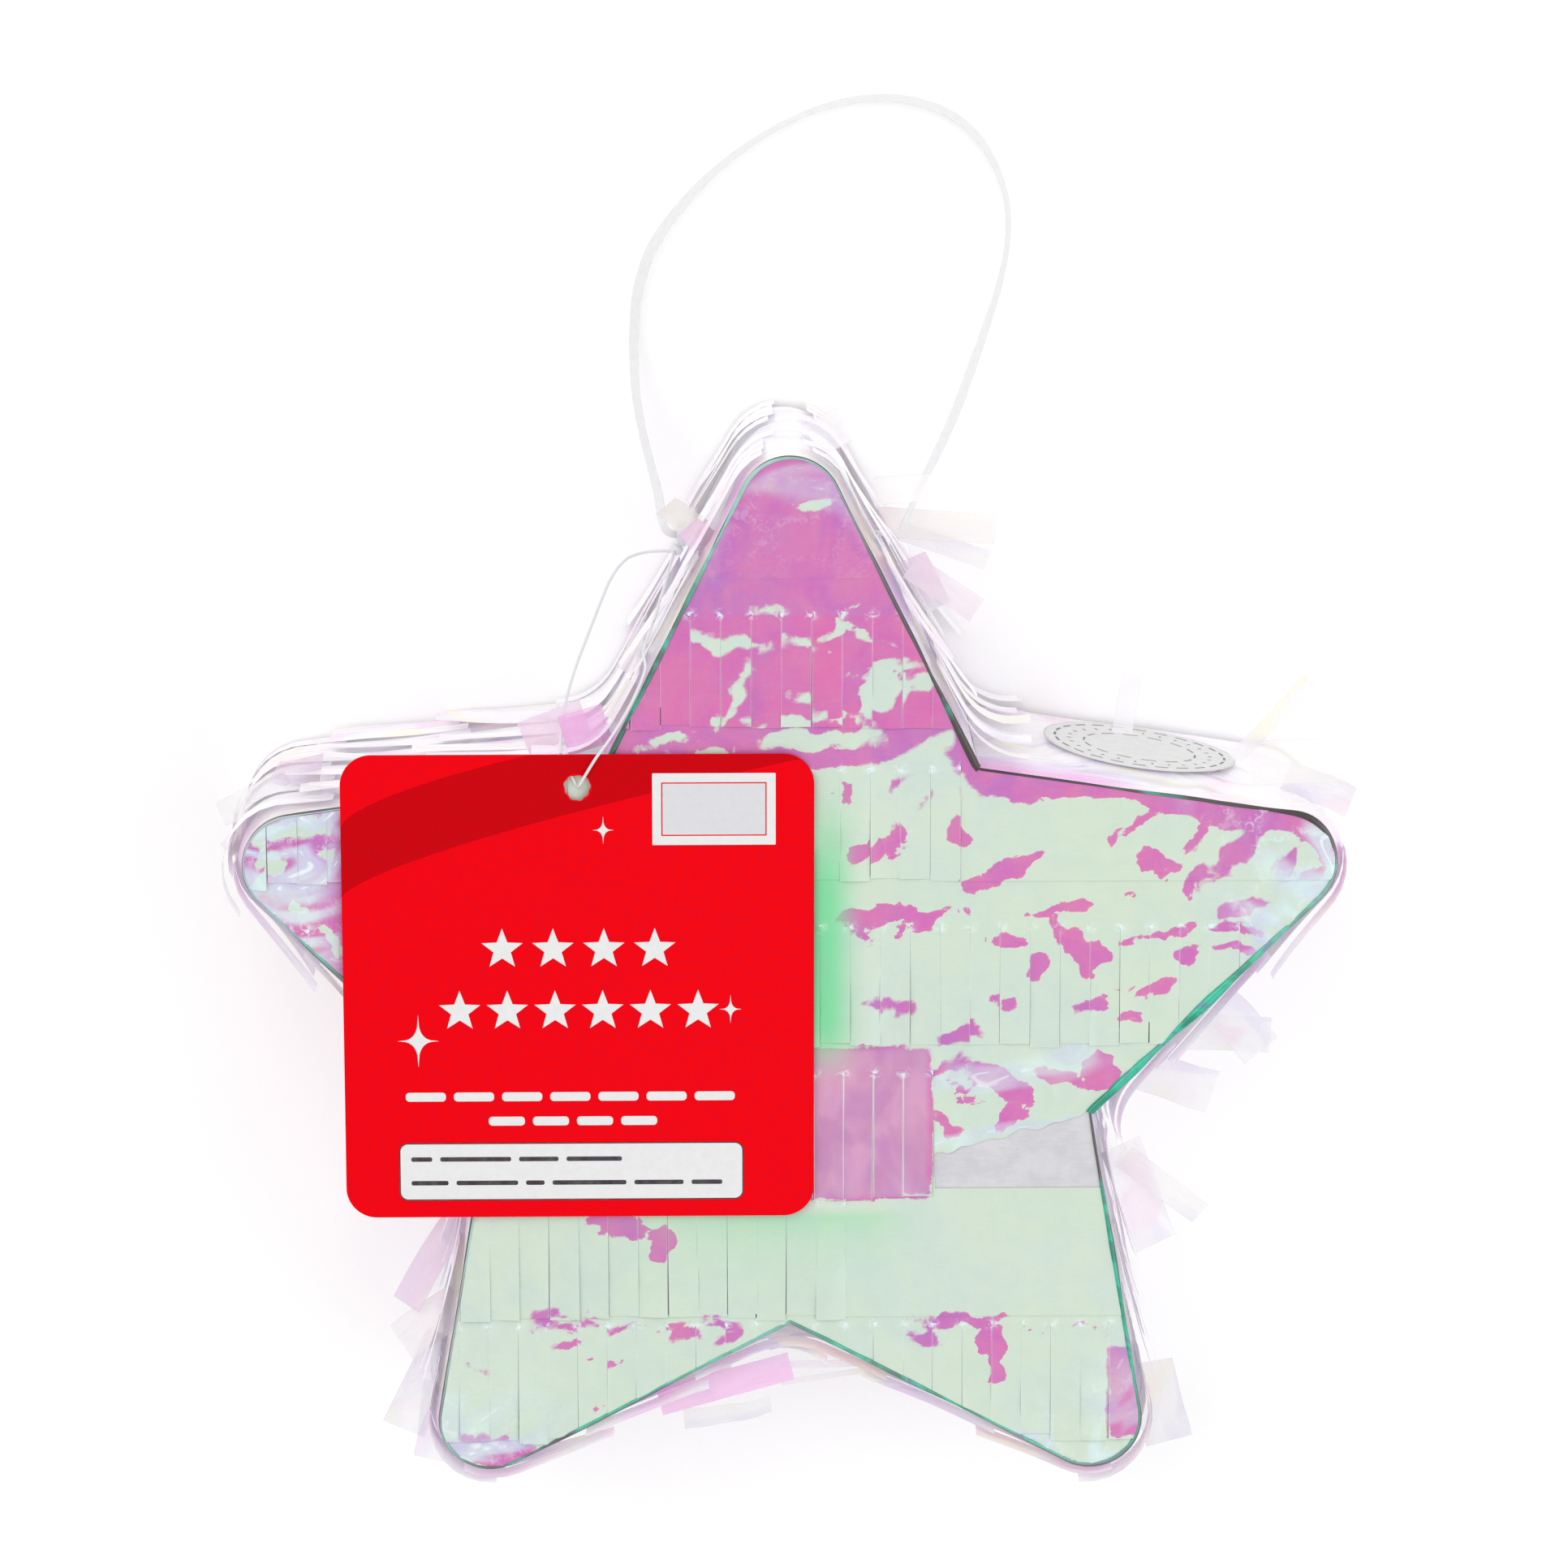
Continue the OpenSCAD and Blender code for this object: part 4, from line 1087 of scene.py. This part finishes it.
class PINATA_OT_fringe(bpy.types.Operator):
    """Film round the walls: a wrinkled skin, bands of slit strips over it, and loose strips"""
    bl_idname = "pinata.fringe"
    bl_label = "Wall fringe"

    def holes(self):
        """Where the ribbon and the filling hole pass the skin: x, y and z, and the hole's numbers."""
        lo, hi = (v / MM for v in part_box("fill_sticker"))
        mid = (lo + hi) / 2
        y = RIBBON_ROUTE[0][1]
        half, _, _ = star_shape()
        x = (settings().star.star_r - (y - settings().star.centre_y)) * math.tan(half)
        return [(mid.x, mid.y, mid.z, FILLING), (x, y, 25.0, RIBBON), (-x, y, 25.0, RIBBON)]

    def execute(self, context):
        fringe = settings().fringe
        depth = settings().star.depth
        path, normals, total = wall_path(0.0, 0.0, 0.5)
        bridge, bridge_n, bridge_total = wall_path(0.6, fringe.fillet, 1.0)
        at = np.linspace(0, total, len(path), endpoint=False)
        holes = [(at[np.argmin(np.hypot(path[:, 0] - x, path[:, 1] - y))], z, *hole)
                 for x, y, z, hole in self.holes()]
        rng = np.random.default_rng(8)
        # the skin: a sheet round each point, with its cells drawn aside round the holes
        for k in range(POINTS):
            s0, s1 = (k - 0.5) * total / POINTS, (k + 0.5) * total / POINTS
            s, z = np.meshgrid(np.linspace(s0, s1, 190), np.linspace(0.6, depth + 0.05, 74),
                               indexing="ij")
            inside = np.zeros(s.shape, bool)
            for hs, hz, hr, *_ in holes:
                ds = apart(s, hs, total)
                far = np.hypot(ds, z - hz) + 1e-9
                now = far < hr
                inside |= far < hr - 0.01
                s = np.where(now, s - ds + ds / far * hr, s)
                z = np.where(now, hz + (z - hz) / far * hr, z)
            edge = np.minimum(ease(0.3, 6, z), ease(depth + 0.3, depth - 6, z))
            puff = ease(0, 4, s - s0) * ease(0, 4, s1 - s)
            full = edge * puff
            off = (0.35 + (0.15 + 0.35 * full) * (1 + ripples(s, z * 1.4, 60 + k, 14, 40)) * 0.8
                   + 0.5 * full * creases(s, z * 1.6, 70 + k, 18, 44))
            for hs, hz, hr, _, _, rise in holes:
                near = ease(hr + 4, hr, np.hypot(apart(s, hs, total), z - hz))
                off = off * (1 - near) + rise * near
            x, y = on_path(path, normals, total, s, off)
            quads = grid_quads(*x.shape)[:, ::-1]
            quads = quads[~inside.reshape(-1)[quads].all(1)]
            lay = np.stack([s, z, 0 * s], -1)
            tint = 0.4 * ripples(s, 0.6 * z, 90 + k, 14, 50)
            for hx, hy, wide, strength in HOT:
                tint += strength * np.exp(-((x - hx) ** 2 + (y - hy) ** 2) / wide ** 2)
            tint = ease(depth - 10, depth - 1, z) * np.clip(tint, -0.5, 0.85)
            skin = new_piece(f"fringe_skin_{k + 1}", np.stack([x, y, z], -1), quads,
                             material("fringe_skin_clear"), "star_body", "fringe_film",
                             {"lay": lay, "tone": tint, "rim": 0 * s}, weld=0.002)
            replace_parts(skin, f"edge_fringe_{2 * k + 1}", f"edge_fringe_{2 * k + 2}",
                        f"tip_fringe_{k + 1}")

        # bands of strips: left of the top point they run on round the path, right of it back
        cells = 13
        t = np.linspace(0, 1, cells)[None, :, None]
        u = np.array(STRIP_COLS)[None, None]
        pitch = depth / fringe.strips
        bands = int(bridge_total / 2 / fringe.pitch)
        roots, heads, levels = [], [], []
        for way in (1, -1):
            for b in range(bands):
                for j in range(fringe.strips):
                    roots.append(way * (3 + b * fringe.pitch + rng.normal(0, 0.8)))
                    heads.append(way)
                    levels.append((j + 0.5) * pitch)
        roots, heads, levels = map(np.array, (roots, heads, levels))
        n = len(roots)
        length = rng.normal(fringe.length, 1.6, n)
        ratio = total / bridge_total
        keep = np.ones(n, bool)
        for hs, hz, _, room, reach, _ in holes:
            d0 = apart(roots * ratio, hs, total)
            lo, hi = np.minimum(d0, d0 + heads * length), np.maximum(d0, d0 + heads * length)
            keep &= ~((lo < room) & (hi > -room) & (np.abs(levels - hz) < reach))
        lift = fringe.lift * (0.35 + 1.3 * rng.random(n) ** 2)
        wave = rng.uniform(0, 6, n)
        shown = [roots[keep], heads[keep], levels[keep], length[keep], lift[keep], wave[keep]]
        roots, heads, levels, length, lift, wave = (v[:, None, None] for v in shown)
        n = len(roots)
        each = np.arange(n)[:, None, None]
        s = roots + heads * length * t + 0 * u
        off = 1.2 + lift * t ** 1.6 + 0.25 * t * np.sin(5 * t + wave) + 0.3 * u * u
        off = off + 0.4 * t * u * np.sin(wave * 7)
        z = levels + u * (pitch - 0.25) + 0.5 * t * np.sin(wave * 3)
        x, y = on_path(bridge, bridge_n, bridge_total, s, off)
        lay = np.stack([s + 7 * each, z + 5 * each, 0 * s], -1)
        arm = np.round((roots[:, 0, 0] / bridge_total) * POINTS).astype(int) % POINTS
        tone = np.clip(rng.normal(0, 0.16, n), -0.35, 0.3) * (rng.random(n) < 0.35)
        cols = len(STRIP_COLS)
        for k in range(POINTS):
            mine = np.flatnonzero(arm == k)
            p = np.stack([x[mine], y[mine], z[mine]], -1)
            quads = np.concatenate([grid_quads(cells, cols, first=i * cells * cols)
                                    [:, ::-1 if heads[j, 0, 0] > 0 else 1]
                                    for i, j in enumerate(mine)])
            new_piece(f"fringe_strips_{k + 1}", p, quads, material("fringe_skin_clear"),
                      "star_body", "fringe_film",
                      {"lay": lay[mine],
                       "tone": np.broadcast_to(tone[mine][:, None, None], p.shape[:3]),
                       "rim": np.broadcast_to(np.abs(u) > 0.49, p.shape[:3])})

        # the loose strips, each tilted a little about its own length
        spare = np.array(LOOSE, float)
        parts = Parts()
        root, end = spare[:, :3], spare[:, 3:6]
        run = (end - root) / np.linalg.norm(end - root, axis=1, keepdims=True)
        tilt = rng.normal(0, 0.25, len(spare))[:, None]
        flat = np.cross(run, [0, 0, 1.0])
        flat /= np.linalg.norm(flat, axis=1, keepdims=True)
        across = flat * np.cos(tilt) + np.cross(flat, run) * np.sin(tilt)
        film_strips(parts, root, end, spare[:, 6], spare[:, 7], across, 5)
        parts.piece("fringe_loose", material("fringe_strip_clear"), "star_body", "fringe_film")
        return {"FINISHED"}


# ---- The tag and the sticker ----

def rounded_box(w, h, r, count):
    """A rounded rectangle's outline round the origin, half its points on the corners' arcs and half
    on the sides."""
    m = count // 8
    t = np.linspace(0, 1, m, endpoint=False)[:, None]
    out = []
    for k in range(4):
        a, b = math.pi / 2 * k, math.pi / 2 * (k + 1)
        core = np.array([w / 2 - r, h / 2 - r])
        here = core * np.sign([math.cos(a + math.pi / 4), math.sin(a + math.pi / 4)])
        there = core * np.sign([math.cos(b + math.pi / 4), math.sin(b + math.pi / 4)])
        turn = a + (b - a) * t
        out.append(here + r * np.concatenate([np.cos(turn), np.sin(turn)], -1))
        ray = r * np.array([math.cos(b), math.sin(b)])
        out.append(here + ray + (there - here) * t)
    return np.concatenate(out)


def sparkle(size, count, root=0.46, narrow=0.76):
    """A four-pointed glint: where the roots of the distances along both axes add up to one."""
    a = circle(count)
    across, up = np.abs(np.cos(a)) / narrow, np.abs(np.sin(a))
    return polar(size / (across ** root + up ** root) ** (1 / root), a)


def pointed(outer, inner, count):
    """A five-pointed star's outline: straight sides between points at outer and corners at inner."""
    turn = math.pi / 2
    a = circle(count) + turn
    phase = np.abs(((a - turn) * POINTS / (2 * math.pi) + 0.5) % 1 - 0.5) * 2
    r = outer * inner * math.sin(HALF_STEP) / (outer * np.sin(phase * HALF_STEP)
                                               + inner * np.sin((1 - phase) * HALF_STEP))
    return polar(r, a)


def patch(parts, outline, middle, z):
    """A flat shape: its outline drawn in to its middle in two steps."""
    rings = np.array([1.0, 0.5, 0.0])[:, None, None] * outline[None] + np.asarray(middle, float)
    p = np.concatenate([rings, np.full(rings.shape[:2] + (1,), z)], -1)
    parts.add(p, grid_quads(3, len(outline), loop_cols=True))


def frame_line(parts, w, h, r, line, middle, z, count=96):
    """A rounded frame of one line: the outline and the same outline drawn in."""
    rings = np.stack([rounded_box(w, h, r, count),
                      rounded_box(w - 2 * line, h - 2 * line, max(r - line, 0.05), count)])
    p = np.concatenate([rings + np.asarray(middle, float), np.full((2, count, 1), z)], -1)
    parts.add(p, grid_quads(2, count, loop_cols=True))


# The tag's printed shapes, in mm
PANEL = (-12.3, 27.3)  # the blank panel's middle
GLINTS = ((-30.1, 23.9, 2.3), (-60.2, -11.0, 4.4), (-9.7, -5.9, 2.4))  # middle and size
STAR_ROWS = ((4, 4.2, 8.2), (6, -6.1, 7.7))  # how many stars, the row's y, and between two middles
STAR_ROWS_X = -34.2  # both rows' middle
STAR_SIZE = 3.5
BARS = ((-63.0, -8.4, -20.4, 7), (-49.6, -21.0, -24.5, 4))  # from x to x, y, and how many bars
LABEL = (-35.6, -33.0)  # the blank label's middle
LABEL_LINES = ((2.1, (3.4, 11.5, 6.4, 9.0)),  # y over the label's middle, and each bar's width
               (-1.9, (6.0, 10.0, 3.0, 12.0, 8.0, 5.0)))


class PINATA_OT_tag(bpy.types.Operator):
    """The red hang tag with plain printed shapes in place of its words"""
    bl_idname = "pinata.tag"
    bl_label = "Hang tag"

    def execute(self, context):
        tag = settings().tag
        lo, hi = (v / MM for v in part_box("hang_tag"))
        w, h, mx, my = hi.x - lo.x, hi.y - lo.y, (lo.x + hi.x) / 2, (lo.y + hi.y) / 2
        hole_y = hi.y - 5.4
        count = 384
        outer = rounded_box(w, h, tag.corner, count) + [mx, my]
        a = np.arctan2(outer[:, 1] - hole_y, outer[:, 0] - mx)
        # the punched hole is a little torn
        torn = tag.hole / 2 * (1 + 0.05 * np.sin(3 * a) + 0.04 * np.sin(9 * a + 1))
        inner = polar(torn, a) + [mx, hole_y]
        steps = np.linspace(0, 1, 26)[:, None, None] ** 1.5
        face = inner[None] + (outer - inner)[None] * steps
        top = np.concatenate([face, np.full(face.shape[:2] + (1,), hi.z)], -1)
        under = np.concatenate([face, np.full(face.shape[:2] + (1,), lo.z)], -1)[::-1]
        loop = np.concatenate([top, under])
        body = new_piece("hang_tag_card", loop, grid_quads(len(loop), count, True, True),
                         material("tag_red"), "tag", "printed_card", closed=True, smooth=False)
        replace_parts(body, "hang_tag")
        bevel = body.modifiers.new("edge", "BEVEL")
        bevel.width, bevel.segments, bevel.limit_method = 0.00006, 2, "ANGLE"

        # the dark sweep: a band that widens to the right, kept inside the corners and off the hole
        ink = hi.z + tag.ink
        sweep_band = Parts()
        x = np.linspace(lo.x + 0.02, hi.x - 0.02, 110)
        t = (x - lo.x) / w
        low = 13.0 + 23.0 * t ** 0.72
        high = 24.4 + 21.0 * t ** 0.62
        corner = tag.corner
        beyond = np.clip(corner - np.minimum(x - lo.x, hi.x - x), 0, corner)
        cut = hi.y - 0.02 - (corner - np.sqrt(np.maximum(corner ** 2 - beyond ** 2, 0)))
        high = np.minimum(high, cut)
        low = np.minimum(low, high - 0.001)
        v = np.linspace(0, 1, 12)[:, None]
        y = low[None] + (high - low)[None] * v
        x2 = np.broadcast_to(x[None], y.shape)
        away = np.hypot(x2 - mx, y - hole_y)
        near = np.maximum(away, 1e-6)
        push = np.maximum(tag.hole / 2 + 0.3, near) / near
        p = np.stack([mx + (x2 - mx) * push, hole_y + (y - hole_y) * push, 0 * y + ink], -1)
        quads = grid_quads(*y.shape)
        quads = quads[~(away.reshape(-1)[quads] < tag.hole / 2 + 0.3).all(1)]
        sweep_band.add(p, quads)
        sweep_band.piece("tag_dark_sweep", material("tag_dark_red"), "tag", "printed_card",
                         weld=0.001, smooth=False)

        white, red, grey, dark = Parts(), Parts(), Parts(), Parts()
        patch(white, rounded_box(19.8, 11.8, 0.15, 48), PANEL, ink + 0.01)
        frame_line(red, 16.9, 8.8, 0.1, 0.2, PANEL, ink + 0.04)
        patch(grey, rounded_box(16.5, 8.4, 0.1, 48), PANEL, ink + 0.03)
        for x, y, size in GLINTS:
            patch(white, sparkle(size, 96), (x, y), ink + 0.01)
        for count, y, gap in STAR_ROWS:
            for i in range(count):
                x = STAR_ROWS_X + (i - (count - 1) / 2) * gap
                patch(white, pointed(STAR_SIZE, STAR_SIZE * 0.42, 80), (x, y), ink + 0.01)
        between = 1.3
        for x0, x1, y, count in BARS:
            edges = np.linspace(x0, x1, count + 1)
            for a0, a1 in zip(edges[:-1], edges[1:]):
                bar = rounded_box(a1 - a0 - between, 1.5, 0.6, 40)
                patch(white, bar, ((a0 + a1) / 2, y), ink + 0.01)
        patch(white, rounded_box(55.6, 9.4, 1.3, 96), LABEL, ink + 0.01)
        frame_line(dark, 55.9, 9.7, 1.45, 0.2, LABEL, ink + 0.03)
        for y, widths in LABEL_LINES:
            x = LABEL[0] - 26.0
            for wide in widths:
                patch(dark, rounded_box(wide, 0.75, 0.3, 32), (x + wide / 2, LABEL[1] + y), ink + 0.03)
                x += wide + between
        for print_parts, name, ink_name, weld in ((white, "tag_print_white", "ink_white", 0.0005),
                                                  (red, "tag_print_line", "tag_red", 0.0),
                                                  (grey, "tag_print_grey", "ink_grey", 0.0005),
                                                  (dark, "tag_print_dark", "ink_dark", 0.0005)):
            print_parts.piece(name, material(ink_name), "tag", "printed_card", weld=weld, smooth=False)
        return {"FINISHED"}


# The sticker's dashed rings: inner and outer radius in mm, how many dashes, and the share they fill
STICKER_RINGS = ((13.9, 14.3, 24, 0.6), (9.1, 9.4, 14, 0.6), (11.4, 12.1, 26, 0.12))


class PINATA_OT_sticker(bpy.types.Operator):
    """The filling hole's round sticker with its dashed rings, and the film behind it"""
    bl_idname = "pinata.sticker"
    bl_label = "Filling sticker"

    def execute(self, context):
        lo, hi = (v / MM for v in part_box("fill_sticker"))
        mid = np.array((lo + hi) / 2)
        half, _, _ = star_shape()
        # the way that the wall under the sticker faces, and along it
        turn = math.pi / 2 + 2 * HALF_STEP * 4 - half + math.pi / 2
        out = np.array([math.cos(turn), math.sin(turn), 0.0])
        along = np.array([out[1], -out[0], 0.0])
        up = np.array([0.0, 0.0, 1.0])
        radius = (hi.z - lo.z) / 2

        def disc(r, a, off):
            """Points at radius r and angle a on the wall's plane, off mm out, curling at the rim."""
            curl = 0.35 * ease(0.55, 1.0, r / radius) * (1 + np.sin(2 * a + 0.6)) / 2
            return (mid + (r * np.cos(a))[..., None] * along + (r * np.sin(a))[..., None] * up
                    + (off + curl)[..., None] * out)

        a = circle(120)[None]
        r = radius * np.linspace(0, 1, 22)[:, None] ** 0.8
        top = disc(r + 0 * a, a + 0 * r, 0.08 + 0 * (r + a))
        under = disc(r + 0 * a, a + 0 * r, -0.08 + 0 * (r + a))[::-1]
        loop = np.concatenate([top, under])
        paper = new_piece("filling_sticker", loop, grid_quads(len(loop), 120, loop_cols=True),
                          material("sticker_white"), "filling_flap", "sticker_paper", weld=0.001,
                          closed=True)
        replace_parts(paper, "fill_sticker")

        marks = Parts()
        for inner, outer, count, share in STICKER_RINGS:
            for i in range(count):
                b = (i + np.linspace(0, share, 6)[None]) * 2 * math.pi / count
                q = np.linspace(inner, outer, 3)[:, None]
                p = disc(q + 0 * b, b + 0 * q, 0.11 + 0 * (q + b))
                marks.add(p, grid_quads(3, 6))
        marks.piece("sticker_marks", material("sticker_ink"), "filling_flap", "sticker_paper",
                    smooth=False)

        layers = Parts()
        r_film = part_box("fill_film")[1].z / MM - mid[2]
        for layer, off in enumerate((-0.5, -1.0, -1.6)):
            q = (r_film - 0.1 - 0.25 * layer) * np.linspace(0, 1, 12)[:, None]
            rim = 1 - 0.02 * (1 + np.sin(a * (7 + layer) + layer))
            z_off = off + 0.1 * np.sin(a * 5 + layer) * q / r_film
            p = (mid + (q * rim * np.cos(a))[..., None] * along
                 + (q * rim * np.sin(a))[..., None] * up + z_off[..., None] * out)
            lay = np.stack([q * np.cos(a) + 50 * layer, q * np.sin(a), 0 * (q + a)], -1)
            layers.add(p, grid_quads(12, 120, loop_cols=True), lay=lay, tone=0.0, rim=0.0)
        film = layers.piece("filling_film", material("fringe_skin_clear"), "filling_flap",
                            "fringe_film", weld=0.001)
        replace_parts(film, "fill_film")

        strips = Parts()
        root = np.array([[54.2, 36.2, 36.0]])
        end = np.array([[55.8, 47.6, 38.4]])
        film_strips(strips, root, end, np.array([3.4]), np.array([0.0]),
                    np.array([[0.99, -0.12, 0.05]]), 12)
        strips.piece("sticker_loose_strip", material("fringe_strip_clear"), "filling_flap",
                     "fringe_film")
        return {"FINISHED"}


STEPS = (PINATA_OT_stage, PINATA_OT_finishes, PINATA_OT_cords, PINATA_OT_face_film,
         PINATA_OT_edges, PINATA_OT_fringe, PINATA_OT_tag, PINATA_OT_sticker)


class PINATA_PT_panel(bpy.types.Panel):
    """Lists the pinata's pieces in the order they are made"""
    bl_idname = "PINATA_PT_panel"
    bl_label = "Star pinata"
    bl_space_type = "VIEW_3D"
    bl_region_type = "UI"
    bl_category = "Pinata"

    def draw(self, context):
        """A box for each group of settings, then a button for each step."""
        for group in ("star", "film", "fringe", "tag", "stage"):
            box = self.layout.box()
            values = getattr(settings(), group)
            for key in values.__annotations__:
                box.prop(values, key)
        for step in STEPS:
            self.layout.operator(step.bl_idname)


CLASSES = (StarSizes, FilmFinish, FringeFinish, TagFinish, StageSetup, PinataSettings,
           PINATA_PT_panel) + STEPS


def register():
    """Makes the add-on's classes and settings known to Blender."""
    for each in CLASSES:
        bpy.utils.register_class(each)
    bpy.types.Scene.pinata = PointerProperty(type=PinataSettings)


def unregister():
    """Takes them away again."""
    del bpy.types.Scene.pinata
    for each in reversed(CLASSES):
        bpy.utils.unregister_class(each)


def main():
    """Makes every piece in order."""
    register()
    for step in STEPS:
        group, name = step.bl_idname.split(".")
        getattr(getattr(bpy.ops, group), name)()


if __name__ == "__main__":
    main()
